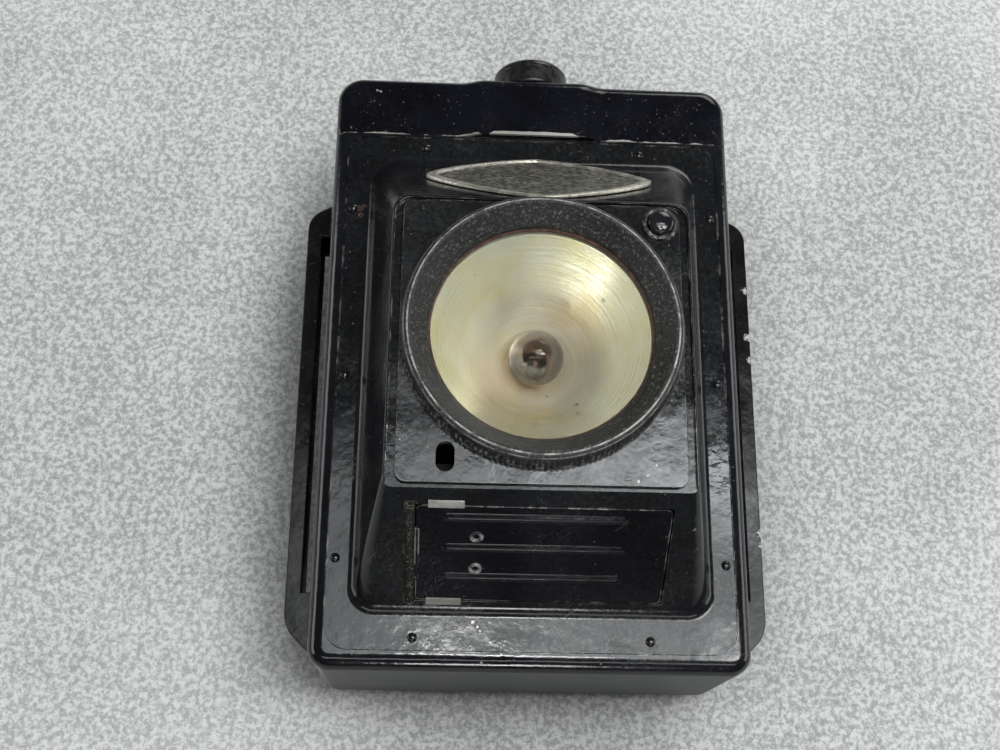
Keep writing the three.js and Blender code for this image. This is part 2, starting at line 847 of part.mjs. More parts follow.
function lensNeck() {
  const front = housingFront - neckReach;
  const flangeFront = housingWallRear + seatGap;
  const flangeBack = flangeFront + neckFlangeThickness;
  const back = ledgeFront + ledgeThickness;
  const step = lipRear + runGap;
  const inner = neckRadius - neckWall;
  return turnedAlongY([
    [inner, front],
    [neckRadius, front],
    [neckRadius, flangeFront],
    [neckFlangeRadius, flangeFront],
    [neckFlangeRadius, flangeBack],
    [neckRadius, flangeBack],
    [neckRadius, back],
    [ledgeRadius, back],
    [ledgeRadius, ledgeFront],
    [neckBore, ledgeFront],
    [neckBore, step],
    [inner, step],
    [inner, front],
  ], wideSegments);
}

function lensBezel() {
  const front = housingFront - bezelRise;
  const base = housingFront - seatGap;
  const grooveOuter = neckRadius + runGap;
  const grooveInner = neckRadius - neckWall - runGap;
  const grooveEnd = housingFront - neckReach - runGap;
  const profile = [
    [bezelRadius, base],
    [bezelRadius, front + bezelShoulderDrop],
    [bezelRingOuter + bezelTurnedEdge, front + bezelRingChamfer],
    [bezelRingOuter, front],
    [bezelRingInner, front],
    [bezelMouthRadius, lipRear - bezelLip],
    [bezelMouthRadius, lipRear],
    [grooveInner, lipRear],
    [grooveInner, grooveEnd],
    [grooveOuter, grooveEnd],
    [grooveOuter, base],
    [bezelRadius, base],
  ];
  const geometry = new THREE.LatheGeometry(corners(...profile), 2 * knurlCount);
  const place = geometry.attributes.position;
  for (let i = 0; i < place.count; i += 1) {
    const radius = Math.hypot(place.getX(i), place.getZ(i));
    const turn = Math.atan2(place.getZ(i), place.getX(i)) / Math.PI * knurlCount;
    const valley = Math.abs(Math.round(turn)) % 2 === 1;
    if (valley && radius > grooveOuter + seatGap) {
      const shrink = (radius - knurlDepth) / radius;
      place.setXYZ(i, place.getX(i) * shrink, place.getY(i), place.getZ(i) * shrink);
    }
  }
  geometry.translate(0, 0, lensHeight);
  return solid(geometry);
}

function ring(inner, outer, front, back, segments) {
  return turnedAlongY(
    [[inner, front], [outer, front], [outer, back], [inner, back], [inner, front]], segments);
}

function lensGlass() {
  return alongY(circle(0, lensHeight, glassRadius, wideSegments), glassFront, glassRear);
}

function reflector() {
  const bowl = (radius, thicker) => [radius + thicker, reflectorApex - radius ** 2 / (4 * reflectorFocus)];
  const steps = 2 * roundSteps;
  const profile = [];
  for (let i = 0; i <= steps; i += 1) {
    profile.push(bowl(throatRadius + (reflectorRadius - throatRadius) * i / steps, 0));
  }
  const rimRear = reflectorRim + reflectorSheet;
  const lastInner = reflectorRadius - reflectorSheet;
  profile.push(
    [glassRadius, reflectorRim], [glassRadius, rimRear], [reflectorRadius + reflectorSheet, rimRear]);
  for (let i = steps; i >= 0; i -= 1) {
    profile.push(bowl(throatRadius + (lastInner - throatRadius) * i / steps, reflectorSheet));
  }
  profile.push([throatRadius + reflectorSheet, throatRear], [throatRadius, throatRear], profile[0]);
  return turnedAlongY(profile, wideSegments);
}

// Bulb: the profile is given from the middle of its globe, which points along -Y.
function bulbGlassProfile() {
  const neckFront = Math.sqrt(bulbRadius ** 2 - bulbNeckRadius ** 2);
  const neckRear = neckFront + bulbNeckLength;
  const globe = (radius, neck) => {
    const last = Math.PI - Math.asin(neck / radius);
    return arcPoints(0, 0, radius, 0, last, 2 * roundSteps).map((point) => [point.y, -point.x]);
  };
  const outside = globe(bulbRadius, bulbNeckRadius);
  const inside = globe(bulbRadius - bulbWall, bulbNeckRadius - bulbWall).reverse();
  return [
    ...outside,
    [bulbNeckRadius, neckRear],
    [bulbNeckRadius - bulbWall, neckRear],
    ...inside,
  ].map(([radius, y]) => [Math.abs(radius) < seatGap / 2 ? 0 : radius, y]);
}

function bulbCapProfile() {
  const front = capFront - bulbCentre;
  const back = front + capLength;
  const inner = capRadius - capWall;
  return [
    [0, back + tipHeight],
    [tipRadius, back + tipHeight],
    [tipRadius, back],
    [capRadius, back],
    [capRadius, front],
    [inner, front],
    [inner, back - capWall],
    [0, back - capWall],
  ];
}

function moved(profile, y) {
  return profile.map(([radius, place]) => [radius, place + y]);
}

function bulbSocket() {
  const back = socketFront + socketLength;
  const collarFront = bushRear + seatGap;
  return turnedAlongY([
    [socketBore, socketFront],
    [socketRadius, socketFront],
    [socketRadius, collarFront],
    [socketCollarRadius, collarFront],
    [socketCollarRadius, collarFront + socketCollarThickness],
    [socketRadius, collarFront + socketCollarThickness],
    [socketRadius, back],
    [socketBore, back],
    [socketBore, socketFront],
  ], midSegments);
}

function socketInsulator() {
  const bore = socketRadius + runGap;
  const bush = throatRadius - runGap;
  const flangeFront = throatRear + runGap;
  return turnedAlongY([
    [bore, throatFront + bushSetback],
    [bush, throatFront + bushSetback],
    [bush, flangeFront],
    [bushFlangeRadius, flangeFront],
    [bushFlangeRadius, bushRear],
    [bore, bushRear],
    [bore, throatFront + bushSetback],
  ], midSegments);
}

function socketTongue() {
  const footY = boardFront - seatGap - tongueSheet / 2;
  const tipY = tipRear + runGap + tongueSheet / 2;
  const strip = bentStrip(corners(
    [footY, lensHeight + tongueFootHigh],
    [footY, lensHeight + tongueFootLow],
    [tipY, lensHeight + tongueTipAbove],
    [tipY, lensHeight - tongueTipBelow]), tongueSheet);
  return alongX(strip, -tongueWidth / 2, tongueWidth / 2);
}

// Push button and switch

function buttonCollar() {
  const bore = buttonRadius + runGap;
  const foot = housingFront - seatGap;
  const ledgeBack = housingWallRear + seatGap + collarLedge;
  const tubeRadius = bore + collarTubeWall;
  return turnedAlongY([
    [bore, foot - collarRise],
    [collarRadius - collarRise / 2, foot - collarRise],
    [collarRadius, foot - collarRise / 2],
    [collarRadius, foot],
    [tubeRadius, foot],
    [tubeRadius, ledgeBack],
    [stemRadius + runGap, ledgeBack],
    [stemRadius + runGap, ledgeBack - collarLedge],
    [bore, ledgeBack - collarLedge],
    [bore, foot - collarRise],
  ], fineSegments, buttonX, buttonHeight);
}

function pushButton() {
  const top = housingFront - buttonRise;
  const headBack = top + buttonHeadLength;
  const clipFront = housingWallRear + seatGap + collarLedge + seatGap;
  const dome = arcPoints(0, 0, 1, 0, Math.PI / 2, roundSteps).reverse();
  return turnedAlongY([
    ...dome.map((point) => [buttonRadius * point.x, top + buttonDome * (1 - point.y)]).map(
      ([radius, y], i) => [i === 0 ? 0 : radius, y]),
    [buttonRadius, headBack],
    [stemRadius, headBack],
    [stemRadius, clipFront],
    [stemClipRadius, clipFront],
    [stemClipRadius, clipFront + stemClipThickness],
    [stemRadius, clipFront + stemClipThickness],
    [stemRadius, stemTip],
    [0, stemTip],
  ], fineSegments, buttonX, buttonHeight);
}

function buttonSpring() {
  const from = housingFront - buttonRise + buttonHeadLength + seatGap + springWire / 2;
  const to = housingWallRear + seatGap - seatGap - springWire / 2;
  const steps = springStepsPerTurn * springTurns;
  const points = [];
  for (let i = 0; i <= steps; i += 1) {
    const angle = 2 * Math.PI * springTurns * i / steps;
    points.push(new THREE.Vector3(
      buttonX + springRadius * Math.cos(angle),
      from + (to - from) * i / steps,
      buttonHeight + springRadius * Math.sin(angle)));
  }
  const geometry = new THREE.ExtrudeGeometry(circle(0, 0, springWire / 2, springSides), {
    steps,
    extrudePath: new THREE.CatmullRomCurve3(points),
    bevelEnabled: false,
  });
  return solid(geometry);
}

function contactBlade(front, top) {
  return alongY(box(bladeX - bladeWidth / 2, bladeX + bladeWidth / 2, bladeBottom, top),
    front, front + bladeSheet);
}

function switchBlock() {
  const top = bladeBottom - runGap;
  const front = switchBlockRear - switchBlockDepth;
  const share = (caseFront - front) / housingRise;
  const wall = (housingBaseWidth + (housingFrontWidth - housingBaseWidth) * share) / 2;
  const outer = wall - housingSide(housingBaseWidth / 2, housingFrontWidth / 2, coverSheet) - runGap;
  return alongY(box(switchBlockInnerX, outer, top - switchBlockHeight, top), front, switchBlockRear);
}

// Flap, its hinge and the spare bulb's tray

function bead(from, to, down) {
  const profile = arcPoints(0, 0, 1, 0, Math.PI, 2 * roundSteps).map(
    (point) => new THREE.Vector3(0, -down + beadRadius * point.x, beadRise * point.y));
  const ringAt = (x, scale) => profile.map((point) => new THREE.Vector3(
    x, -down + (point.y + down) * scale, point.z * scale - flapSheet / 2));
  const rings = [
    ringAt(from, beadEndShare), ringAt(from + beadRadius, 1),
    ringAt(to - beadRadius, 1), ringAt(to, beadEndShare),
  ];
  return skinned(rings.map((points) => points.map((point) => {
    const lifted = point.clone();
    lifted.z += flapSheet / 2 - seatGap / 2;
    return lifted.applyMatrix4(lowerSlope);
  })));
}

// A rod along the hinge line between two places down the slope.
function hingeRod(radius, from, to, segments = fineSegments) {
  const geometry = new THREE.CylinderGeometry(radius, radius, to - from, segments);
  geometry.translate(hingeX, -(from + to) / 2, hingeOut);
  return solid(geometry.applyMatrix4(lowerSlope));
}

function rivetHole(down) {
  return onFlapSlope(circle(hollowRivetX, -down, hollowRivetShank + seatGap), -overrun, overrun);
}

function flapPanel() {
  const panel = onFlapSlope(
    roundedBox(flapLeft, flapRight, -flapTo, -flapFrom, flapCorner), -flapSheet, 0);
  const beads = [];
  for (let i = 0; i < beadCount; i += 1) {
    beads.push(bead(beadFrom, beadTo, beadFirst + i * beadPitch));
  }
  const from = flapFrom + knuckleLength + runGap;
  const to = flapTo - knuckleLength - runGap;
  const neck = onFlapSlope(slopeBox(hingeX, flapLeft + flapCorner, from, to), -flapSheet, hingeOut);
  const notchDepth = flapSpringSheet + 2 * runGap;
  const notchSpan = [tabLeft - runGap, tabRight + runGap];
  const notches = [
    slopeBox(...notchSpan, flapFrom - overrun, flapFrom + notchDepth),
    slopeBox(...notchSpan, flapTo - notchDepth, flapTo + overrun),
  ].map((shape) => onFlapSlope(shape, -overrun, overrun));
  return cutAll(joinAll([panel, ...beads, neck, hingeRod(barrelRadius, from, to)]), [
    hingeRod(hingePinRadius + runGap, flapFrom, flapTo, rivetSegments),
    rivetHole(hollowRivetUpper),
    rivetHole(hollowRivetLower),
    ...notches,
  ]);
}

function flapSpring() {
  const low = -flapSheet - seatGap - flapSpringSheet;
  const high = -flapSheet - seatGap;
  const from = flapFrom + runGap;
  const to = flapTo - runGap;
  const arm = onFlapSlope(slopeBox(tabLeft, tabRight, from, to), low, high);
  const pad = onFlapSlope(slopeBox(
    tabLeft, flapSpringPadRight,
    hollowRivetUpper - hollowRivetHead - seatGap,
    hollowRivetLower + hollowRivetHead + seatGap), low, high);
  const pieces = [arm, pad];
  for (const [edge, sign] of [[from, 1], [to, -1]]) {
    const inner = edge + sign * flapSpringSheet;
    const outer = edge - sign * (tabReach + runGap);
    const riser = slopeBox(tabLeft, tabRight, Math.min(edge, inner), Math.max(edge, inner));
    const tab = slopeBox(tabLeft, tabRight, Math.min(outer, inner), Math.max(outer, inner));
    pieces.push(onFlapSlope(riser, low, tabProud));
    pieces.push(onFlapSlope(tab, tabProud - flapSpringSheet, tabProud));
  }
  return cutAll(joinAll(pieces), [rivetHole(hollowRivetUpper), rivetHole(hollowRivetLower)]);
}

function flapRivet(down) {
  const tail = -flapSheet - flapSpringSheet - 2 * seatGap;
  const profile = [
    [hollowRivetBore, seatGap + hollowRivetRise],
    [hollowRivetHead - hollowRivetRise / 2, seatGap + hollowRivetRise],
    [hollowRivetHead, seatGap],
    [hollowRivetShank, seatGap],
    [hollowRivetShank, tail],
    [hollowRivetHead, tail],
    [hollowRivetHead, tail - hollowRivetRise],
    [hollowRivetBore, tail - hollowRivetRise],
    [hollowRivetBore, seatGap + hollowRivetRise],
  ];
  const geometry = new THREE.LatheGeometry(corners(...profile), midSegments / 2 + 2);
  geometry.rotateX(Math.PI / 2);
  geometry.translate(hollowRivetX, -down, 0);
  return solid(geometry.applyMatrix4(lowerSlope));
}

function hingeLeaf() {
  const leafTop = -coverSheet - seatGap;
  const leafBottom = leafTop - hingeLeafSheet;
  const right = hingeX - barrelRadius + hingeLeafSheet;
  const plate = onFlapSlope(
    slopeBox(right - hingeLeafWidth, right, flapFrom, flapTo), leafBottom, leafTop);
  const pieces = [plate];
  for (const [from, to] of [[flapFrom, flapFrom + knuckleLength], [flapTo - knuckleLength, flapTo]]) {
    const riser = slopeBox(right - hingeLeafSheet, right, from, to);
    pieces.push(onFlapSlope(riser, leafBottom, hingeOut));
    pieces.push(hingeRod(barrelRadius, from, to));
  }
  return joinAll(pieces).subtract(
    hingeRod(hingePinRadius + seatGap, flapFrom - overrun, flapTo + overrun, rivetSegments));
}

function hingePin() {
  const head = (from) => hingeRod(hingePinHeadRadius, from, from + hingePinHead, rivetSegments);
  return joinAll([
    hingeRod(hingePinRadius, flapFrom - seatGap - hingePinHead / 2, flapTo + seatGap + hingePinHead / 2,
      rivetSegments),
    head(flapFrom - seatGap - hingePinHead),
    head(flapTo + seatGap),
  ]);
}

function trayOutline(inset) {
  const top = flapFrom + trayInset + inset;
  const bottom = flapTo - trayInset - inset;
  const mouth = coverSheet + runGap - (inset ? overrun : 0);
  const deep = coverSheet + runGap + trayDepth - inset;
  const cut = trayChamfer - inset / 2;
  return new THREE.Shape(corners(
    [-top, -mouth], [-top, -deep], [-bottom + cut, -deep], [-bottom, -deep + cut], [-bottom, -mouth]));
}

function trayBlock(inset) {
  const left = flapLeft + trayInset + inset;
  const right = flapRight - trayInset - inset;
  const turn = new THREE.Matrix4().makeBasis(
    new THREE.Vector3(0, 1, 0), new THREE.Vector3(0, 0, 1), new THREE.Vector3(1, 0, 0));
  return raised(trayOutline(inset), left, right, lowerSlope.clone().multiply(turn));
}

function bulbTray() {
  const notch = onFlapSlope(
    slopeBox(tabLeft - runGap, tabRight + runGap, flapFrom - overrun, flapTo + overrun),
    -flapSheet - seatGap - flapSpringSheet - runGap, 0);
  return trayBlock(0).subtract(trayBlock(trayWall)).subtract(notch);
}

// The spare bulb lies across the tray with its globe to the left.
function spareBulbPart(profile) {
  const down = (flapFrom + flapTo) / 2;
  const deep = coverSheet + runGap + trayDepth - trayWall - runGap - bulbRadius;
  const geometry = new THREE.LatheGeometry(corners(...profile), fineSegments);
  geometry.rotateZ(-Math.PI / 2);
  geometry.translate(spareBulbX, -down, -deep);
  return solid(geometry.applyMatrix4(lowerSlope));
}

// Battery room

function partitionBoard() {
  const half = innerX - seatGap;
  return alongY(roundedBox(
    -half, half, caseSheet + seatGap, boardTop, baseCorner - caseSheet, cellCorner), boardFront, boardRear);
}

function batteryPad() {
  const bottom = caseSheet + seatGap;
  return alongZ(
    box(-padWidth / 2, padWidth / 2, cellFront, cellRear - padBackMargin), bottom, bottom + padThickness);
}

function cell(side) {
  const near = side * cellNear;
  const far = side * cellFar;
  const can = alongZ(roundedBox(
    Math.min(near, far), Math.max(near, far), cellFront, cellRear, cellCorner), cellBottom, cellTop);
  const posts = [innerPostX, outerPostX].map((x) => alongZ(
    circle(side * x, postY, postRadius, rivetSegments), cellTop - overrun, cellTop + postRise));
  return joinAll([can, ...posts]);
}

function cellLink() {
  const low = cellTop + seatGap;
  const reach = innerPostX + linkWidth / 2;
  const strap = alongZ(roundedBox(
    -reach, reach, postY - linkWidth / 2, postY + linkWidth / 2, cellCorner), low, low + linkSheet);
  return cutAll(strap, [-innerPostX, innerPostX].map((x) => alongZ(
    circle(x, postY, postRadius + runGap, rivetSegments), cellTop, cellTop + postRise)));
}

// Leads: the routes stay as chosen by hand, and each end stops short of what it meets.
const postTop = cellTop + postRise + runGap;
const blockBack = switchBlockRear + runGap;

function leadPositive() {
  return tube([
    [outerPostX, postY, postTop], [45, 3.6, 135], [44.6, -4, 142], [44, -16, 144.5], [43, -26, 140],
    [42, -35, 126], [41.2, -44, 107], [40.6, -49.5, 98.5], [40.5, blockBack, 97.3],
  ], leadRadius);
}

function leadNegative() {
  const collarBack = bushRear + seatGap + socketCollarThickness + runGap;
  return tube([
    [-outerPostX, postY, postTop], [-45, 3.2, 136], [-43.6, -8, 143.5], [-38, -20, 143.5],
    [-31, -25.4, 132], [-19, -25, 109], [-9.6, -24.4, 94.5], [-7.4, -25.4, 90.4],
    [-7.3, collarBack, 90],
  ], leadRadius);
}

function leadSwitch() {
  const footFront = boardFront - seatGap - tongueSheet - runGap;
  return tube([
    [35, blockBack, 97.3], [35, -49.5, 98], [34.4, -42, 103], [29, -32, 112], [18, -26.4, 117.5],
    [7, -26, 115], [1.2, -25.6, 109.6], [1, footFront, 108.6],
  ], leadRadius);
}

// Lid screw

function lidKnob() {
  const foot = lidTop + seatGap;
  const top = lidTop + knobRise;
  const bore = studRadius + seatGap;
  return turnedUpright([
    [0, foot + studInKnob + seatGap],
    [bore, foot + studInKnob + seatGap],
    [bore, foot],
    [knobRadius - knobFoot, foot],
    [knobRadius, foot + knobFoot],
    [knobRadius, top - knobEdge],
    [knobRadius - knobEdge / 3, top - knobEdge / 3],
    [knobRadius - knobEdge, top],
    [0, top],
  ], 2 * fineSegments, 0, knobY);
}

function knobStud() {
  const low = nutTop - nutThickness - studBelowNut;
  const high = lidTop + seatGap + studInKnob;
  return alongZ(circle(0, knobY, studRadius, fineSegments), low, high);
}

function lidBridge() {
  const reach = innerX - runGap - collarWall - seatGap - bridgeSheet / 2;
  const middle = bridgeTop - bridgeSheet / 2;
  const strip = bentStrip(corners(
    [-reach, bridgeTop - bridgeLeg], [-reach, middle], [reach, middle], [reach, bridgeTop - bridgeLeg],
  ), bridgeSheet);
  const hole = alongZ(circle(0, knobY, studRadius + runGap), bridgeTop - bridgeLeg, bridgeTop + overrun);
  return alongY(strip, knobY - bridgeWidth / 2, knobY + bridgeWidth / 2).subtract(hole);
}

function bridgeNut() {
  const hexagon = circle(0, knobY, nutAcross / Math.sqrt(3), 6);
  const hole = alongZ(
    circle(0, knobY, studRadius + runGap), nutTop - nutThickness - overrun, nutTop + overrun);
  return alongZ(hexagon, nutTop - nutThickness, nutTop).subtract(hole);
}

// Strap guides and rear clip

function strapGuide(side) {
  const wall = caseWidth / 2 + seatGap;
  const outline = (inset) => corners(
    [wall - (inset ? overrun : 0), guideBottom + inset],
    [wall + guideFootSheet, guideBottom + inset],
    [guideOuterX - inset, guideBottom + guideBottomSlope + inset / 2],
    [guideOuterX - inset, guideTop - guideTopSlope - inset / 2],
    [wall + guideFootSheet, guideTop - inset],
    [wall - (inset ? overrun : 0), guideTop - inset],
  ).map((point) => new THREE.Vector2(side * point.x, point.y));
  const bar = alongY(new THREE.Shape(outline(0)), -guideWidth / 2, guideWidth / 2);
  const hollow = alongY(
    new THREE.Shape(outline(guideSheet)), -guideWidth / 2 + guideSheet, guideWidth / 2 - guideSheet);
  const inner = side * (guideOuterX - guideFlange);
  const edge = side * (wall - overrun);
  const strapWay = alongY(box(
    Math.min(inner, edge), Math.max(inner, edge), guideBottom + guideLowFoot, guideTop - guideFoot),
  -guideWidth, guideWidth);
  const footPad = (low, high) => alongY(box(
    Math.min(side * wall, side * (wall + guideFootSheet)),
    Math.max(side * wall, side * (wall + guideFootSheet)), low, high),
  -guideWidth / 2, guideWidth / 2);
  return joinAll([
    cutAll(bar, [hollow, strapWay]),
    footPad(guideBottom, guideBottom + guideLowFoot - guideSheet),
    footPad(guideTop - guideFoot + guideSheet, guideTop),
  ]);
}

function rearClip() {
  const face = caseBack + seatGap + clipSheet / 2;
  const stand = caseBack + clipStand;
  const strip = bentStrip(corners(
    [face, clipTop],
    [face, clipTop - clipStepDown],
    [stand, clipTop - clipStepDown - clipStepLength],
    [stand, clipBottom + clipToe],
    [stand - clipToeIn, clipBottom]), clipSheet);
  const strap = alongX(strip, -clipWidth / 2, clipWidth / 2);
  const rivetZ = clipTop - clipStepDown / 2;
  const heads = [-1, 1].map((side) => turnedAlongY([
    [0, face],
    [clipRivetRadius, face],
    [clipRivetRadius, face + clipSheet / 2 + clipRivetRise / 3],
    [clipRivetRadius / 2, face + clipSheet / 2 + clipRivetRise],
    [0, face + clipSheet / 2 + clipRivetRise],
  ], midSegments / 2, side * clipRivetSpread / 2, rivetZ));
  return joinAll([strap, ...heads]);
}

// The lantern: each piece with its colour, roughness and metalness

const lantern = new THREE.Group();

function add(name, body, look) {
  const mesh = new THREE.Mesh(geometryOf(body), new THREE.MeshStandardMaterial(look));
  mesh.name = name;
  lantern.add(mesh);
}

const blackPaint = { color: 0x16171a, roughness: 0.35, metalness: 0.1 };
const greyBlackPaint = { color: 0x232529, roughness: 0.5, metalness: 0.15 };
const bezelMetal = { color: 0x2c2c2d, roughness: 0.6, metalness: 0.5 };
const bareSteel = { color: 0x9a9a96, roughness: 0.45, metalness: 0.9 };
const rustySteel = { color: 0x5b4334, roughness: 0.8, metalness: 0.5 };
const brass = { color: 0xa8894d, roughness: 0.4, metalness: 0.9 };
const agedSilver = { color: 0xe2d9b4, roughness: 0.25, metalness: 0.8 };
const badgeMetal = { color: 0x77745f, roughness: 0.5, metalness: 0.7 };
const clearGlass = { color: 0xe8ecea, roughness: 0.05, metalness: 0 };
const brownGasket = { color: 0x6a4a2c, roughness: 0.9, metalness: 0 };
const blackPlastic = { color: 0x0d0d0e, roughness: 0.2, metalness: 0 };
const fibre = { color: 0x6b4a33, roughness: 0.8, metalness: 0 };
const leadCloth = { color: 0x3a2f25, roughness: 0.85, metalness: 0 };
const cellCase = { color: 0x24262a, roughness: 0.7, metalness: 0 };

add('body_shell', bodyShell(), blackPaint);
add('back_panel', backPanel(), blackPaint);
add('mouth_collar', mouthCollar(), greyBlackPaint);
add('lid', lid(), blackPaint);
add('front_cover', frontCover(), blackPaint);
rivetPlaces().forEach(([x, z], i) => add(`cover_rivet_${i + 1}`, coverRivet(x, z), greyBlackPaint));
add('lens_plate', lensPlate(), greyBlackPaint);
add('nameplate', nameplate(), badgeMetal);
add('lens_neck', lensNeck(), bareSteel);
add('lens_bezel', lensBezel(), bezelMetal);
add('lens_gasket', ring(gasketBore, glassRadius, gasketFront, gasketFront + gasketThickness, wideSegments),
  brownGasket);
add('lens_glass', lensGlass(), clearGlass);
add('reflector', reflector(), agedSilver);
add('bulb_glass', turnedAlongY(moved(bulbGlassProfile(), bulbCentre), fineSegments), clearGlass);
add('bulb_cap', turnedAlongY(moved(bulbCapProfile(), bulbCentre), fineSegments), brass);
add('bulb_socket', bulbSocket(), brass);
add('socket_insulator', socketInsulator(), fibre);
add('socket_tongue', socketTongue(), brass);
add('button_collar', buttonCollar(), bareSteel);
add('push_button', pushButton(), blackPlastic);
add('button_spring', buttonSpring(), bareSteel);
add('contact_blade_moving', contactBlade(bladeFront, bladeTop), brass);
add('contact_blade_fixed', contactBlade(fixedBladeFront, fixedBladeTop), brass);
add('switch_block', switchBlock(), fibre);
add('flap_panel', flapPanel(), blackPaint);
add('flap_spring', flapSpring(), bareSteel);
add('flap_rivet_upper', flapRivet(hollowRivetUpper), greyBlackPaint);
add('flap_rivet_lower', flapRivet(hollowRivetLower), greyBlackPaint);
add('hinge_leaf', hingeLeaf(), rustySteel);
add('hinge_pin', hingePin(), rustySteel);
add('bulb_tray', bulbTray(), bareSteel);
add('spare_bulb_glass', spareBulbPart(bulbGlassProfile()), clearGlass);
add('spare_bulb_cap', spareBulbPart(bulbCapProfile()), brass);
add('partition_board', partitionBoard(), fibre);
add('battery_pad', batteryPad(), brownGasket);
add('cell_left', cell(-1), cellCase);
add('cell_right', cell(1), cellCase);
add('cell_link', cellLink(), brass);
add('lead_positive', leadPositive(), leadCloth);
add('lead_negative', leadNegative(), leadCloth);
add('lead_switch', leadSwitch(), leadCloth);
add('lid_knob', lidKnob(), blackPlastic);
add('knob_stud', knobStud(), bareSteel);
add('lid_bridge', lidBridge(), greyBlackPaint);
add('bridge_nut', bridgeNut(), bareSteel);
add('strap_guide_left', strapGuide(-1), blackPaint);
add('strap_guide_right', strapGuide(1), blackPaint);
add('rear_clip', rearClip(), blackPaint);

export default lantern;
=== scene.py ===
# %% [markdown]
# # A battery hand lantern in worn black enamel
# The lantern was pressed from thin steel: a flat case for two cells, a tapered lamp housing riveted to
# its front, and a lid held down by one big knob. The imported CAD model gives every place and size. This
# script builds the shapes again with finer curves and gives each one its finish. All shapes are made in
# millimetres and turned to metres once, when a piece is finished.

# %% Load the frame
import math

import bmesh
import bpy
from mathutils import Matrix, Vector, noise


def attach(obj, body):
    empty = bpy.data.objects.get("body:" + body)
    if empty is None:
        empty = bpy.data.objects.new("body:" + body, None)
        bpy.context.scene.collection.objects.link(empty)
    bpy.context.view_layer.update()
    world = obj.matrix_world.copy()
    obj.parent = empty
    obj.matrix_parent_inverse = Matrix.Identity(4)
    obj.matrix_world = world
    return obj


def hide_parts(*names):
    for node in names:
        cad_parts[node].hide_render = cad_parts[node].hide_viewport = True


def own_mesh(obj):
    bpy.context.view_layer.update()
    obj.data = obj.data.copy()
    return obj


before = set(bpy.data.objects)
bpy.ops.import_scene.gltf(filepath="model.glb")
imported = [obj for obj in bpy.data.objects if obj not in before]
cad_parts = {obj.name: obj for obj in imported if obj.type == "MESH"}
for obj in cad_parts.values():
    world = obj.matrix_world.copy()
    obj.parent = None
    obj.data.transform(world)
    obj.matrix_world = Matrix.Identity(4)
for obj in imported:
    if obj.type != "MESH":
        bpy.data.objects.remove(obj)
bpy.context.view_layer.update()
MM = 0.001

# %% [markdown]
# ## Tools for sheet metal and turned parts
# Pressed sheet starts as a flat blank with round corners that is pulled to depth, and turned parts start
# as a profile that is spun round an axis. The helpers below do the same: `blank` cuts the outline, `pull`
# gives it depth, `turned` spins a profile, `cut` takes other solids out and `soften` rounds what is still
# sharp, because no real edge is perfectly sharp and a round edge is what catches the light.

# %% Flat blanks and depth
NEAR = 0.01


def round_corners(bm, corners, radius, steps):
    bmesh.ops.bevel(bm, geom=corners, offset=radius, offset_type="OFFSET", affect="VERTICES",
                    segments=steps, profile=0.5, material=-1)


def blank(left, right, low, high, low_corner, high_corner, y, steps=8):
    """A flat face that looks along Y, with round corners."""
    bm = bmesh.new()
    corners = [bm.verts.new(place) for place in
               ((left, y, low), (right, y, low), (right, y, high), (left, y, high))]
    bm.faces.new(corners)
    for pair, radius in ((corners[:2], low_corner), (corners[2:], high_corner)):
        if radius:
            round_corners(bm, pair, radius, steps)
    return bm


def points_in(made):
    """The points among the parts that an extrusion has made."""
    return [part for part in made["geom"] if isinstance(part, bmesh.types.BMVert)]


def pull(bm, by, faces=None):
    """Extrudes faces and moves the new end by a vector."""
    made = bmesh.ops.extrude_face_region(bm, geom=faces or bm.faces[:])
    bmesh.ops.translate(bm, vec=by, verts=points_in(made))
    bmesh.ops.recalc_face_normals(bm, faces=bm.faces[:])
    return bm


def block(left, right, low, high, low_corner, high_corner, front, back, steps=8):
    return pull(blank(left, right, low, high, low_corner, high_corner, front, steps), (0, back - front, 0))


sample = block(0, 9, 0, 9, 2, 2, 0, 5)
print("a block with round corners:", len(sample.faces), "faces")


# %% Round edges
def round_edges(bm, edges, radius, segments):
    bmesh.ops.bevel(bm, geom=edges, offset=radius, offset_type="OFFSET", affect="EDGES",
                    segments=segments, profile=0.5, material=-1, clamp_overlap=True)
    return bm


def edges_where(bm, test):
    return [edge for edge in bm.edges if all(test(vert.co) for vert in edge.verts)]


def round_rim(bm, face_y, open_z, radius, segments):
    """Rounds the edges round the flat face at face_y, all but the one at the open end at open_z."""
    rim = [edge for edge in edges_where(bm, lambda p: abs(p.y - face_y) < NEAR)
           if not all(abs(vert.co.z - open_z) < NEAR for vert in edge.verts)]
    return round_edges(bm, rim, radius, segments)


def divide(bm, place, direction):
    """Splits every face along a plane and keeps both sides."""
    bmesh.ops.bisect_plane(bm, geom=bm.verts[:] + bm.edges[:] + bm.faces[:],
                           plane_co=place, plane_no=direction)


def soften(bm, width, segments=2, angle=34):
    """Rounds every edge whose two faces meet at more than the angle, in degrees."""
    sharp = [edge for edge in bm.edges
             if len(edge.link_faces) == 2 and edge.calc_face_angle(0) > math.radians(angle)]
    return round_edges(bm, sharp, width, segments)


print("the same block with soft edges:", len(soften(sample, 0.3).faces), "faces")
sample.free()


# %% Turned parts
def along_z(centre_x, centre_y):
    """The frame of a part that is turned about an upright axis."""
    return Matrix.Translation((centre_x, centre_y, 0))


def into_lantern(centre_x, centre_z):
    """The frame of a part that is turned about an axis along Y; its own height runs towards the back."""
    turn = Matrix(((1, 0, 0, 0), (0, 0, 1, 0), (0, -1, 0, 0), (0, 0, 0, 1)))
    return Matrix.Translation((centre_x, 0, centre_z)) @ turn


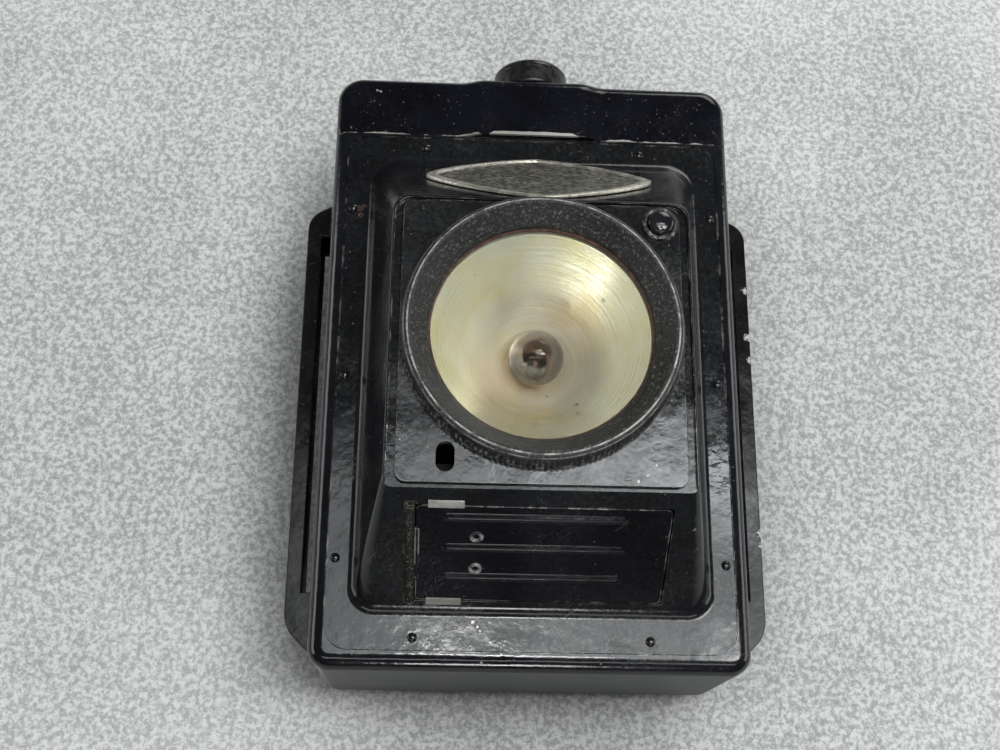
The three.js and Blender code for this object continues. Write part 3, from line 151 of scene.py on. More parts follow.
def turned(profile, steps, place, closed=False):
    """Spins a profile of (radius, height) points once round the axis of its frame."""
    bm = bmesh.new()
    verts = [bm.verts.new((radius, 0, height)) for radius, height in profile]
    edges = [bm.edges.new(pair) for pair in zip(verts, verts[1:])]
    if closed:
        edges.append(bm.edges.new((verts[-1], verts[0])))
    bmesh.ops.spin(bm, geom=verts + edges, cent=(0, 0, 0), axis=(0, 0, 1), angle=2 * math.pi,
                   steps=steps, use_merge=True, use_duplicate=False)
    bmesh.ops.remove_doubles(bm, verts=bm.verts[:], dist=1e-4)
    bmesh.ops.transform(bm, matrix=place, verts=bm.verts[:])
    bmesh.ops.recalc_face_normals(bm, faces=bm.faces[:])
    return bm


def arc(centre_radius, centre_height, radius, start, end, steps):
    """Profile points on an arc; angles are in degrees from the outward direction."""
    points = []
    for step in range(steps + 1):
        angle = math.radians(start + (end - start) * step / steps)
        points.append((centre_radius + radius * math.cos(angle), centre_height + radius * math.sin(angle)))
    return points


print("a quarter circle in four steps:", [round(radius, 2) for radius, height in arc(0, 0, 1, 0, 90, 4)])


# %% Joining and cutting
def gathered(*parts):
    """Several shapes as one mesh."""
    whole = bmesh.new()
    for part in parts:
        mesh = bpy.data.meshes.new("part")
        part.to_mesh(mesh)
        whole.from_mesh(mesh)
        bpy.data.meshes.remove(mesh)
        part.free()
    return whole


def loose(bm):
    """An unnamed object for the Boolean modifier to read."""
    mesh = bpy.data.meshes.new("loose")
    bm.to_mesh(mesh)
    bm.free()
    made = bpy.data.objects.new("loose", mesh)
    bpy.context.scene.collection.objects.link(made)
    return made


def cut(bm, *cutters):
    """Takes the cutters out of a solid and returns what is left."""
    target, tools = loose(bm), [loose(cutter) for cutter in cutters]
    for tool in tools:
        modifier = target.modifiers.new("cut", "BOOLEAN")
        modifier.operation, modifier.solver, modifier.object = "DIFFERENCE", "EXACT", tool
    left = bmesh.new()
    left.from_object(target, bpy.context.evaluated_depsgraph_get())
    for made in (target, *tools):
        mesh = made.data
        bpy.data.objects.remove(made)
        bpy.data.meshes.remove(mesh)
    bmesh.ops.remove_doubles(left, verts=left.verts[:], dist=1e-3)
    bmesh.ops.dissolve_degenerate(left, edges=left.edges[:], dist=1e-3)
    return left


holed = cut(block(0, 9, 0, 9, 0, 0, 0, 5), block(3, 6, 3, 6, 0, 0, -1, 6))
print("a block with a square hole:", len(holed.faces), "faces")
holed.free()


# %% Finished pieces
def finished(name, bm, finish, body="root", stands_for=(), angle=34):
    """Turns a shape in millimetres into a piece in metres that rides on its body."""
    bmesh.ops.recalc_face_normals(bm, faces=bm.faces[:])
    bmesh.ops.scale(bm, vec=(MM, MM, MM), verts=bm.verts[:])
    mesh = bpy.data.meshes.new(name)
    bm.to_mesh(mesh)
    bm.free()
    piece = bpy.data.objects.new(name, mesh)
    bpy.context.scene.collection.objects.link(piece)
    for material in finish if isinstance(finish, (list, tuple)) else [finish]:
        mesh.materials.append(material)
    mesh.shade_smooth()
    mesh.set_sharp_from_angle(angle=math.radians(angle))
    weighted = piece.modifiers.new("even normals", "WEIGHTED_NORMAL")
    weighted.keep_sharp = True
    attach(piece, body)
    if stands_for:
        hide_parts(*stands_for)
    print(f"{name}: {len(mesh.polygons)} faces")
    return piece


def refined(node_name, name, finish, body="root", *, width):
    """The CAD shape itself with its flat faces joined up and its edges softened."""
    bm = bmesh.new()
    bm.from_mesh(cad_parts[node_name].data)
    bmesh.ops.scale(bm, vec=(1 / MM, 1 / MM, 1 / MM), verts=bm.verts[:])
    bmesh.ops.remove_doubles(bm, verts=bm.verts[:], dist=2e-3)
    bmesh.ops.dissolve_limit(bm, angle_limit=math.radians(1), verts=bm.verts[:], edges=bm.edges[:])
    if width:
        soften(bm, width)
    return finished(name, bm, finish, body, (node_name,))


print("pieces are made in millimetres and kept in metres; one millimetre is", MM)

# %% [markdown]
# ## Node groups for wear
# Black enamel over steel chips where it is knocked, rubs through along edges, and gathers dust and
# hairline scratches. Every finish needs the same few effects, so each is built once as a node group that
# only puts out a mask or a height, and the materials choose how much of it they use.

# %% Node helpers
def fill(tree, made, inputs):
    """Sets a node's inputs: sockets are linked and plain values are copied."""
    for key, value in inputs.items():
        if isinstance(value, bpy.types.NodeSocket):
            tree.links.new(value, made.inputs[key])
        else:
            made.inputs[key].default_value = value
    return made


def node(tree, kind, inputs=None, **settings):
    """Adds a shader node and sets its properties and its inputs."""
    made = tree.nodes.new("ShaderNode" + kind)
    for key, value in settings.items():
        setattr(made, key, value)
    return fill(tree, made, inputs or {})


def maths(tree, operation, first, second=0.0):
    return node(tree, "Math", {0: first, 1: second}, operation=operation).outputs[0]


def times(tree, first, second):
    return maths(tree, "MULTIPLY", first, second)


def ramp(tree, value, low, high, new_low=0.0, new_high=1.0):
    """Maps low..high to new_low..new_high with soft ends."""
    return node(tree, "MapRange", {"Value": value, "From Min": low, "From Max": high, "To Min": new_low,
                                   "To Max": new_high}, interpolation_type="SMOOTHSTEP").outputs["Result"]


def grain(tree, vector, scale, detail, roughness=0.5):
    return node(tree, "TexNoise", {"Vector": vector, "Scale": scale, "Detail": detail,
                                   "Roughness": roughness}).outputs["Fac"]


def blend(tree, factor, first, second):
    """Mixes two colours."""
    return node(tree, "Mix", {0: factor, 6: first, 7: second}, data_type="RGBA").outputs[2]


def along(tree, vector, axis):
    """One coordinate of a place."""
    return node(tree, "SeparateXYZ", {"Vector": vector}).outputs[axis]


def group(name, inputs, outputs):
    tree = bpy.data.node_groups.new(name, "ShaderNodeTree")
    for label, kind, value in inputs:
        socket = tree.interface.new_socket(name=label, in_out="INPUT", socket_type="NodeSocket" + kind)
        if value is not None:
            socket.default_value = value
    for label in outputs:
        tree.interface.new_socket(name=label, in_out="OUTPUT", socket_type="NodeSocketFloat")
    return tree, tree.nodes.new("NodeGroupInput"), tree.nodes.new("NodeGroupOutput")


def use(tree, made, inputs):
    """Places a group in a material and returns its outputs."""
    placed = tree.nodes.new("ShaderNodeGroup")
    placed.node_tree = made
    return fill(tree, placed, inputs).outputs


def mask(tree, made, where, **values):
    """A group's mask at the given coordinates."""
    return use(tree, made, {"Vector": where, **values})["Mask"]


print("node helpers ready for", bpy.app.version_string)

# %% Edge wear
edge_wear, given, result = group(
    "Edge wear", [("Vector", "Vector", None), ("Width", "Float", 0.0006), ("Amount", "Float", 1.0)],
    ["Mask"])
rounded = node(edge_wear, "Bevel", {"Radius": given.outputs["Width"]}, samples=6)
flat = node(edge_wear, "NewGeometry")
likeness = node(edge_wear, "VectorMath", {0: rounded.outputs["Normal"], 1: flat.outputs["Normal"]},
                operation="DOT_PRODUCT")
turn_away = maths(edge_wear, "SUBTRACT", 1.0, likeness.outputs["Value"])
patches = ramp(edge_wear, grain(edge_wear, given.outputs["Vector"], 140.0, 4.0, 0.65), 0.4, 0.68)
strength = times(edge_wear, times(edge_wear, turn_away, given.outputs["Amount"]), patches)
edge_wear.links.new(ramp(edge_wear, strength, 0.02, 0.10), result.inputs["Mask"])
print("edge wear:", len(edge_wear.nodes), "nodes")

# %% Specks
specks, given, result = group(
    "Specks", [("Vector", "Vector", None), ("Scale", "Float", 300.0), ("Size", "Float", 0.16),
               ("Share", "Float", 0.12)], ["Mask"])
cells = node(specks, "TexVoronoi", {"Vector": given.outputs["Vector"], "Scale": given.outputs["Scale"]})
lottery = node(specks, "SeparateColor", {"Color": cells.outputs["Color"]})
size = times(specks, given.outputs["Size"], maths(specks, "POWER", lottery.outputs[1], 1.5))
short = maths(specks, "SUBTRACT", size, cells.outputs["Distance"])
chosen = maths(specks, "LESS_THAN", lottery.outputs[0], given.outputs["Share"])
seen = times(specks, ramp(specks, short, -0.02, 0.04), chosen)
specks.links.new(times(specks, seen, lottery.outputs[2]), result.inputs["Mask"])
print("specks:", len(specks.nodes), "nodes")

# %% Hairlines
hairlines, given, result = group(
    "Hairlines", [("Vector", "Vector", None), ("Turn", "Float", 0.6), ("Amount", "Float", 1.0)], ["Mask"])
leaning = node(hairlines, "VectorRotate", {"Vector": given.outputs["Vector"],
                                           "Angle": given.outputs["Turn"]}, rotation_type="Y_AXIS")
drawn = node(hairlines, "VectorMath", {0: leaning.outputs["Vector"], 1: (30.0, 30.0, 420.0)},
             operation="MULTIPLY")
field = grain(hairlines, drawn.outputs["Vector"], 1.0, 1.0)
from_middle = maths(hairlines, "ABSOLUTE", maths(hairlines, "SUBTRACT", field, 0.5))
thin = ramp(hairlines, from_middle, 0.0, 0.006, 1.0, 0.0)
broken = ramp(hairlines, grain(hairlines, given.outputs["Vector"], 45.0, 2.0), 0.52, 0.68)
lines = times(hairlines, times(hairlines, thin, broken), given.outputs["Amount"])
hairlines.links.new(lines, result.inputs["Mask"])
print("hairlines:", len(hairlines.nodes), "nodes")

# %% Spots at fixed places
spot, given, result = group(
    "Spot", [("Vector", "Vector", None), ("Place", "Vector", None), ("Radius", "Float", 0.001),
             ("Ragged", "Float", 0.16)], ["Mask"])
far = node(spot, "VectorMath", {0: given.outputs["Vector"], 1: given.outputs["Place"]}, operation="DISTANCE")
reach = maths(spot, "DIVIDE", far.outputs["Value"], given.outputs["Radius"])
flaky = grain(spot, given.outputs["Vector"], 1300.0, 3.0, 0.75)
loss = times(spot, maths(spot, "POWER", reach, 2.0), given.outputs["Ragged"])
spot.links.new(ramp(spot, maths(spot, "SUBTRACT", flaky, loss), 0.36, 0.44), result.inputs["Mask"])
print("spot:", len(spot.nodes), "nodes")

# %% Mottle and turning rings
mottle, given, result = group(
    "Mottle", [("Vector", "Vector", None), ("Scale", "Float", 60.0)], ["Tone", "Height"])
broad = grain(mottle, given.outputs["Vector"], given.outputs["Scale"], 3.0, 0.6)
fine = grain(mottle, given.outputs["Vector"], times(mottle, given.outputs["Scale"], 14.0), 2.0)
mottle.links.new(ramp(mottle, broad, 0.3, 0.7), result.inputs["Tone"])
mottle.links.new(maths(mottle, "ADD", times(mottle, fine, 0.09), broad), result.inputs["Height"])

rings, given, result = group(
    "Rings", [("Vector", "Vector", None), ("Pitch", "Float", 0.0009)], ["Radius", "Height"])
LENS_HEIGHT = 0.09
place = given.outputs["Vector"]
above = maths(rings, "SUBTRACT", along(rings, place, "Z"), LENS_HEIGHT)
from_axis = node(rings, "CombineXYZ", {"X": along(rings, place, "X"), "Y": above})
reach = node(rings, "VectorMath", {0: from_axis.outputs["Vector"]}, operation="LENGTH").outputs["Value"]
line = node(rings, "CombineXYZ", {"X": maths(rings, "DIVIDE", reach, given.outputs["Pitch"])})
rings.links.new(reach, result.inputs["Radius"])
rings.links.new(grain(rings, line.outputs["Vector"], 1.0, 3.0, 0.6), result.inputs["Height"])
print("groups:", [made.name for made in bpy.data.node_groups])

# %% [markdown]
# ## Finishes
# The enamel was stoved black paint. It still shines, but decades of handling have left it slightly
# uneven, so its roughness and tone wander. Where the mask says it is gone, the colour turns to grey steel
# and the surface turns metallic. The marks at fixed places follow the photograph: chips low on the
# flange, a rusty spot by the upper left rivet, and scuffs at the lower corners of the lens plate.

# %% Materials and their sockets
def fresh(name):
    """A new material with its tree, its shader and the object's own coordinates."""
    material = bpy.data.materials.new(name)
    material.use_nodes = True
    tree = material.node_tree
    shader = tree.nodes["Principled BSDF"]
    where = tree.nodes.new("ShaderNodeTexCoord").outputs["Object"]
    return material, tree, shader, where


def link(tree, shader, **wires):
    """Sets the shader's inputs; underscores in the names stand for spaces."""
    fill(tree, shader, {key.replace("_", " "): value for key, value in wires.items()})


def bump(tree, height, distance):
    return node(tree, "Bump", {"Height": height, "Distance": distance}).outputs["Normal"]


def tinted(colour, share):
    """A colour made darker or lighter, but not past white."""
    return tuple(min(1.0, value * share) for value in colour[:3]) + (1.0,)


print("a tint of mid grey:", tinted((0.5, 0.5, 0.5, 1), 0.55))


# %% Marks at fixed places
def worst(tree, masks):
    """The strongest of several masks."""
    total = masks[0]
    for other in masks[1:]:
        total = maths(tree, "MAXIMUM", total, other)
    return total


def marks_on(tree, where, places):
    """Chips at fixed places, each given in millimetres with its radius."""
    return [mask(tree, spot, where, Place=Vector(place) * MM, Radius=radius * MM)
            for place, radius in places]


def scuffs_on(tree, where, places):
    """Fans of fine scratches near fixed places, each given in millimetres with its radius."""
    finer = (2.4, 2.4, 2.4)
    close = node(tree, "VectorMath", {0: where, 1: finer}, operation="MULTIPLY").outputs["Vector"]
    lines = worst(tree, [mask(tree, hairlines, close, Turn=turn, Amount=0.9) for turn in (0.95, -0.55, 0.3)])
    masks = []
    for place, radius in places:
        centre = Vector(place) * MM
        far = node(tree, "VectorMath", {0: where, 1: centre}, operation="DISTANCE").outputs["Value"]
        masks.append(times(tree, lines, ramp(tree, far, radius * 0.3 * MM, radius * MM, 1.0, 0.0)))
    return masks


def rubbed_seam(tree, where, seam):
    """Bare steel along the lid's lower edge, in an even band at the middle and a ragged one at the sides."""
    sideways = maths(tree, "ABSOLUTE", along(tree, where, "X"))
    middle = ramp(tree, sideways, 0.0125, 0.0150, 0.0009, 0.0)
    ragged = times(tree, maths(tree, "SUBTRACT", grain(tree, where, 150.0, 3.0), 0.52),
                   ramp(tree, sideways, 0.0120, 0.0160, 0.0008, 0.0035))
    height = maths(tree, "SUBTRACT", along(tree, where, "Z"), maths(tree, "ADD", middle, ragged))
    return ramp(tree, height, (seam - 0.06) * MM, (seam + 0.06) * MM, 1.0, 0.0)


print("marks, scuffs and the seam read", spot.name, "and", hairlines.name)

# %% Enamel
STEEL = (0.30, 0.29, 0.27, 1.0)
BRIGHT_STEEL = (0.50, 0.48, 0.44, 1.0)
RUST = (0.050, 0.018, 0.012, 1.0)
LIGHT_RUST = (0.17, 0.09, 0.06, 1.0)
DUST = (0.30, 0.29, 0.26, 1.0)
GREY_FILM = (0.17, 0.17, 0.155, 1.0)


def enamel(name, colour, rough, wear, dust, chips=(), rusty=(), scuffs=(), seam=None, film=0.0, shine=0.5):
    """Worn black paint. seam is the height in millimetres below which the paint is rubbed to bare steel."""
    material, tree, shader, where = fresh(name)
    uneven = use(tree, mottle, {"Vector": where, "Scale": 55.0})
    bare = [mask(tree, edge_wear, where, Width=0.0006, Amount=wear)]
    bare += marks_on(tree, where, chips) + scuffs_on(tree, where, scuffs)
    if seam:
        bare.append(rubbed_seam(tree, where, seam))
    rust = worst(tree, marks_on(tree, where, rusty)) if rusty else None
    if rust:
        bare.append(rust)
    bare = worst(tree, bare)
    scratches = maths(tree, "MAXIMUM", mask(tree, hairlines, where, Turn=0.5, Amount=0.5),
                      mask(tree, hairlines, where, Turn=-1.1, Amount=0.35))
    motes = mask(tree, specks, where, Scale=950.0, Size=0.34, Share=dust)
    tone = blend(tree, uneven["Tone"], tinted(colour, 0.55), tinted(colour, 1.4))
    cloudy = times(tree, ramp(tree, grain(tree, where, 900.0, 4.0, 0.75), 0.35, 0.70),
                   ramp(tree, grain(tree, where, 45.0, 3.0), 0.30, 0.70, 0.45, 1.0))
    tone = blend(tree, times(tree, cloudy, film), tone, GREY_FILM)
    tone = blend(tree, times(tree, scratches, 0.30), tone, DUST)
    tone = blend(tree, times(tree, motes, 0.17), tone, DUST)
    tone = blend(tree, bare, tone, blend(tree, uneven["Tone"], STEEL, BRIGHT_STEEL))
    if rust:
        flaking = ramp(tree, grain(tree, where, 1400.0, 3.0), 0.50, 0.70)
        tone = blend(tree, rust, tone, blend(tree, flaking, RUST, LIGHT_RUST))
    polish = ramp(tree, grain(tree, where, 38.0, 3.0), 0.3, 0.7, rough * 0.5, rough * 1.4)
    wander = maths(tree, "ADD", polish, times(tree, cloudy, 0.12))
    foot = ramp(tree, along(tree, where, "Z"), 0.0002, 0.0012, 1.0, 0.0)
    dull = worst(tree, [bare, scratches, motes, foot])
    roughness = maths(tree, "MAXIMUM", wander, times(tree, dull, 0.42))
    relief = maths(tree, "SUBTRACT", uneven["Height"], times(tree, bare, 0.4))
    link(tree, shader, Base_Color=tone, Roughness=roughness, Metallic=times(tree, bare, 0.6),
         Specular_IOR_Level=ramp(tree, foot, 0.0, 1.0, shine, shine * 0.6),
         Normal=bump(tree, relief, 0.00030))
    return material


print("the black paint wears through to", STEEL[:3])


# %% Metals
def metal(name, colour, dirt, rough, scale=260.0, depth=0.00004, wear=0.6, dirty=(0.42, 0.66)):
    """Bare or plated metal with dirt in patches and brighter edges."""
    material, tree, shader, where = fresh(name)
    uneven = use(tree, mottle, {"Vector": where, "Scale": scale * 0.3})
    stain = ramp(tree, grain(tree, where, scale, 4.0, 0.65), *dirty)
    edge = mask(tree, edge_wear, where, Width=0.0004, Amount=wear)
    tone = blend(tree, edge, blend(tree, stain, colour, dirt), tinted(colour, 1.5))
    link(tree, shader, Base_Color=tone,
         Metallic=maths(tree, "SUBTRACT", 1.0, times(tree, stain, 0.5)),
         Roughness=ramp(tree, uneven["Tone"], 0.0, 1.0, rough * 0.75, rough * 1.35),
         Normal=bump(tree, uneven["Height"], depth))
    return material


print("metals use", mottle.name, "and", edge_wear.name)

# %% The lantern's paints
case_paint = enamel(
    "case_paint", (0.0042, 0.0047, 0.0068, 1), 0.11, 0.30, 0.10, film=0.02,
    chips=[((-14.5, -28.5, 1.9), 0.9), ((-13.4, -28.2, 1.0), 0.7), ((-24.8, -28.5, 2.9), 0.5),
           ((20.0, -28.4, 2.6), 0.5)])
lid_paint = enamel(
    "lid_paint", (0.0028, 0.0031, 0.0055, 1), 0.11, 0.22, 0.40, seam=172.35, film=0.02,
    chips=[((-50.5, -28.5, 187.8), 0.6), ((-51.6, -28.5, 188.2), 0.5), ((-21.6, -28.5, 187.3), 0.5),
           ((-59.3, -27.8, 174.1), 0.8)], shine=0.28)
cover_paint = enamel(
    "cover_paint", (0.0042, 0.0047, 0.0058, 1), 0.12, 0.30, 0.16, film=0.06,
    chips=[((-17.0, -28.5, 13.8), 0.8), ((-15.6, -28.5, 12.6), 0.6), ((-14.9, -28.5, 11.2), 0.5),
           ((43.6, -53.5, 36.5), 0.6), ((31.0, -49.0, 33.0), 0.4), ((22.3, -51.7, 35.0), 0.4)],
    scuffs=[((-16.0, -28.5, 12.6), 9.0), ((30.0, -28.5, 13.0), 12.0), ((-54.0, -28.5, 60.0), 16.0)],
    rusty=[((-55.4, -28.5, 144.8), 1.1), ((-55.0, -28.5, 142.4), 0.9), ((-54.0, -28.5, 145.6), 0.8)],
    shine=0.42)
plate_paint = enamel(
    "plate_paint", (0.0042, 0.0046, 0.0055, 1), 0.14, 0.45, 0.30, film=0.08,
    chips=[((-38.8, -65.1, 57.0), 0.5), ((28.9, -65.1, 48.8), 0.6), ((31.4, -65.1, 51.6), 0.5),
           ((26.3, -65.1, 46.9), 0.5)],
    scuffs=[((-35.0, -65.1, 54.0), 11.0), ((29.5, -65.1, 49.5), 10.0), ((33.0, -65.1, 56.0), 8.0)],
    shine=0.75)
flap_paint = enamel("flap_paint", (0.0028, 0.0031, 0.0050, 1), 0.13, 3.0, 0.10, film=0.02, shine=0.30)
strap_paint = enamel(
    "strap_paint", (0.0060, 0.0052, 0.0056, 1), 0.16, 0.7, 0.08, film=0.02, shine=0.25,
    chips=[((72.8, -8.5, 128.7), 1.3), ((73.0, -8.4, 112.0), 1.6), ((73.2, -8.3, 104.0), 1.2),
           ((73.3, -8.3, 46.0), 1.3), ((73.3, -8.3, 42.5), 1.0)])
rivet_paint = enamel("rivet_paint", (0.0060, 0.0060, 0.0068, 1), 0.08, 0.0, 0.0)
print("paints:", [made.name for made in bpy.data.materials])

# %% The lantern's metals
rubbed_steel = metal("bare_steel", (0.42, 0.41, 0.39, 1), (0.24, 0.225, 0.20, 1), 0.34, 110.0)
brass = metal("brass", (0.55, 0.40, 0.17, 1), (0.16, 0.11, 0.05, 1), 0.30)
rusty_steel = metal("rusty_steel", (0.34, 0.32, 0.24, 1), (0.012, 0.010, 0.009, 1), 0.55,
                    scale=1100.0, depth=0.0003, wear=0.5, dirty=(0.30, 0.46))
badge_metal = metal("badge_metal", (0.62, 0.60, 0.52, 1), (0.16, 0.15, 0.12, 1), 0.40,
                    scale=900.0, depth=0.00006, wear=0.6, dirty=(0.45, 0.75))
badge_field = metal("badge_field", (0.30, 0.29, 0.235, 1), (0.028, 0.027, 0.023, 1), 0.46,
                    scale=620.0, depth=0.00024, wear=0.2, dirty=(0.38, 0.60))
print("painted and metal finishes:", len(bpy.data.materials))

# %% [markdown]
# The bezel is a heavier ring. Its black finish has turned gritty, and the crest that fingers turn is worn
# bright. The reflector was silvered brass: the silver has yellowed and shows fine turning lines. The front
# glass is clear glass. The bulb's glass is tinted brown, a painted reflection of its brass cap and the dark
# throat around it. Light on its way to a lit surface passes straight through both glasses.

# %% Bezel finish
CREST_LINES = ((0.03800, 0.00030), (0.03915, 0.00024))


def bezel_finish():
    material, tree, shader, where = fresh("bezel_metal")
    ring = use(tree, rings, {"Vector": where, "Pitch": 0.0006})
    gritty = grain(tree, where, 1100.0, 3.0, 0.75)
    front = ramp(tree, along(tree, where, "Y"), -0.0716, -0.0708, 1.0, 0.0)
    lines = []
    for radius, width in CREST_LINES:
        off = maths(tree, "ABSOLUTE", maths(tree, "SUBTRACT", ring["Radius"], radius))
        lines.append(ramp(tree, off, width * 0.5, width, 1.0, 0.0))
    worn = times(tree, times(tree, worst(tree, lines), front),
                 ramp(tree, grain(tree, where, 260.0, 4.0, 0.7), 0.38, 0.60, 0.15, 1.0))
    edge = mask(tree, edge_wear, where, Width=0.0004, Amount=0.35)
    crown = times(tree, ramp(tree, ring["Radius"], 0.0399, 0.0401),
                  ramp(tree, grain(tree, where, 330.0, 3.0, 0.7), 0.48, 0.62, 0.0, 0.7))
    bare = worst(tree, [worn, crown, times(tree, edge, 0.35)])
    tone = blend(tree, ramp(tree, gritty, 0.52, 0.68), (0.0035, 0.0037, 0.0045, 1), (0.12, 0.117, 0.105, 1))
    tone = blend(tree, bare, tone, (0.42, 0.42, 0.40, 1))
    link(tree, shader, Base_Color=tone, Metallic=times(tree, bare, 0.85),
         Roughness=ramp(tree, gritty, 0.3, 0.7, 0.34, 0.60),
         Normal=bump(tree, maths(tree, "ADD", gritty, times(tree, ring["Height"], 0.4)), 0.00032))
    return material


bezel_metal = bezel_finish()
print("bezel:", len(bezel_metal.node_tree.nodes), "nodes")


# %% Silvering
def reflector_finish():
    material, tree, shader, where = fresh("silvering")
    ring = use(tree, rings, {"Vector": where, "Pitch": 0.0005})
    dents = times(tree, grain(tree, where, 42.0, 2.0, 0.4), 2.6)
    stain = ramp(tree, grain(tree, where, 60.0, 4.0, 0.6), 0.38, 0.72)
    patchy = ramp(tree, grain(tree, where, 34.0, 2.0), 0.40, 0.62)
    throat = ramp(tree, ring["Radius"], 0.007, 0.013, 1.0, 0.0)
    pits = mask(tree, specks, where, Scale=260.0, Size=0.30, Share=0.10)
    scored = times(tree, ramp(tree, ring["Height"], 0.42, 0.72), times(tree, patchy, 0.45))
    tone = blend(tree, stain, (0.97, 0.95, 0.84, 1), (0.90, 0.81, 0.54, 1))
    tone = blend(tree, scored, tone, (0.40, 0.38, 0.30, 1))
    tone = blend(tree, times(tree, throat, 0.35), tone, (0.40, 0.33, 0.22, 1))
    tone = blend(tree, times(tree, pits, 0.7), tone, (0.12, 0.09, 0.05, 1))
    link(tree, shader, Base_Color=tone, Metallic=0.72,
         Roughness=ramp(tree, stain, 0.0, 1.0, 0.15, 0.27),
         Normal=bump(tree, maths(tree, "ADD", ring["Height"], dents), 0.00017))
    return material


silvering = reflector_finish()
print("silvering:", len(silvering.node_tree.nodes), "nodes")


# %% Glass
def glass_finish(name, colour, dusty):
    material, tree, shader, where = fresh(name)
    film = ramp(tree, grain(tree, where, 220.0, 4.0, 0.6), 0.45, 0.8)
    link(tree, shader, Base_Color=colour, Transmission_Weight=1.0, IOR=1.5,
         Roughness=ramp(tree, film, 0.0, 1.0, 0.02, dusty))
    passing = node(tree, "LightPath")
    clear = node(tree, "BsdfTransparent", {"Color": colour})
    straight = maths(tree, "MAXIMUM", passing.outputs["Is Shadow Ray"], passing.outputs["Is Diffuse Ray"])
    either = node(tree, "MixShader", {0: straight, 1: shader.outputs[0], 2: clear.outputs[0]})
    tree.links.new(either.outputs[0], tree.nodes["Material Output"].inputs["Surface"])
    return material


clear_glass = glass_finish("clear_glass", (0.93, 0.95, 0.93, 1), 0.06)
# The bulb's brown tint is a painted reflection of its brass cap and the dark throat behind it.
bulb_glass_painted_dark = glass_finish("bulb_glass", (0.50, 0.42, 0.38, 1), 0.10)
print("glass:", clear_glass.name, "and", bulb_glass_painted_dark.name)


# %% Plastic, fibre, cork and cloth
def plain_finish(name, colour, other, rough, scale, depth=0.00003, wear=0.0):
    """Plastic, fibre, cork, cloth: two tones of one colour with a fine grain."""
    material, tree, shader, where = fresh(name)
    uneven = use(tree, mottle, {"Vector": where, "Scale": scale})
    tone = blend(tree, uneven["Tone"], colour, other)
    if wear:
        edge = mask(tree, edge_wear, where, Width=0.0005, Amount=wear)
        tone = blend(tree, times(tree, edge, 0.5), tone, tinted(other, 3.0))
    link(tree, shader, Base_Color=tone,
         Roughness=ramp(tree, uneven["Tone"], 0.0, 1.0, rough * 0.8, rough * 1.25),
         Normal=bump(tree, uneven["Height"], depth))
    return material


gasket_cork = plain_finish("gasket", (0.09, 0.042, 0.028, 1), (0.045, 0.026, 0.020, 1), 0.85, 700.0)
black_plastic = plain_finish("black_plastic", (0.008, 0.008, 0.009, 1), (0.016, 0.016, 0.018, 1), 0.13,
                             120.0)
knob_plastic = plain_finish("knob_plastic", (0.005, 0.005, 0.0055, 1), (0.012, 0.012, 0.012, 1), 0.28, 500.0,
                            depth=0.00005)
fibre = plain_finish("fibre", (0.16, 0.075, 0.04, 1), (0.09, 0.045, 0.025, 1), 0.7, 500.0)
lead_cloth = plain_finish("lead_cover", (0.055, 0.04, 0.03, 1), (0.025, 0.02, 0.016, 1), 0.85, 1500.0,
                          depth=0.0002)
cell_case = plain_finish("cell_case", (0.022, 0.024, 0.027, 1), (0.05, 0.05, 0.052, 1), 0.55, 160.0,
                         depth=0.00006, wear=0.4)
pitch = plain_finish("pitch", (0.008, 0.007, 0.006, 1), (0.020, 0.018, 0.016, 1), 0.35, 120.0, depth=0.0004)
print("all finishes:", len(bpy.data.materials))

# %% [markdown]
# ## Case and lid
# The case is a deep-drawn pan, open at the back, with a generous round where its front meets its sides. A
# shallow pan closes the back. The lid continues the same section upwards; its front swells a little in
# the middle, under the knob, to make room for the screw.

# %% Case
CASE_HALF, CASE_FRONT, CASE_BACK = 64.5, -28.5, 28.5
SEAM, SEAM_GAP, LID_TOP = 172.0, 0.2, 194.0
FRONT_ROUND, REAR_ROUND, SHEET, LOW_CORNER, TOP_CORNER = 4.5, 1.5, 1.0, 6.5, 8.5
INNER_HALF, INNER_CORNER = CASE_HALF - SHEET, LOW_CORNER - SHEET
ROOM_FRONT, ROOM_TOP, FOLD_SOFTNESS, FOLD_ANGLE = -26.3, SEAM + 9, 0.12, 50

shell = block(-CASE_HALF, CASE_HALF, 0, SEAM, LOW_CORNER, 0, CASE_FRONT, 25.5, 14)
round_rim(shell, CASE_FRONT, SEAM, FRONT_ROUND, 10)
room = block(-INNER_HALF, INNER_HALF, SHEET, ROOM_TOP, INNER_CORNER, 0, ROOM_FRONT, 40, 10)
round_rim(room, ROOM_FRONT, ROOM_TOP, 2.2, 5)
rebate = block(-60, 60, 5.3, 171.1, 7, 7, -33, -27.3, 12)
window = block(-54.5, 54.5, 12, 164.2, 2, 2, -33, -20)
shell = soften(cut(shell, room, rebate, window), FOLD_SOFTNESS, 2, FOLD_ANGLE)
finished("case_shell", shell, case_paint, stands_for=("body_shell",))

# %% Back
pan = block(-CASE_HALF, CASE_HALF, 0, SEAM - SEAM_GAP, LOW_CORNER, 0, 25.7, CASE_BACK, 14)
round_rim(pan, CASE_BACK, SEAM - SEAM_GAP, REAR_ROUND, 5)
pan = cut(pan, block(-INNER_HALF, INNER_HALF, SHEET, 190, INNER_CORNER, 0, 20, CASE_BACK - SHEET, 10))
spigot = cut(block(-63.3, 63.3, 1.2, 157.8, 5.3, 0, 22.5, 28, 10),
             block(-62.3, 62.3, 2.2, 170, 4.3, 0, 20, 30, 10))
finished("case_back", soften(gathered(pan, spigot), FOLD_SOFTNESS, 2, FOLD_ANGLE), case_paint,
         stands_for=("back_panel",))

# %% Lid
SWELL_HALF, SHOULDER, SWELL_RISE = 24.2, 8.5, 2.5


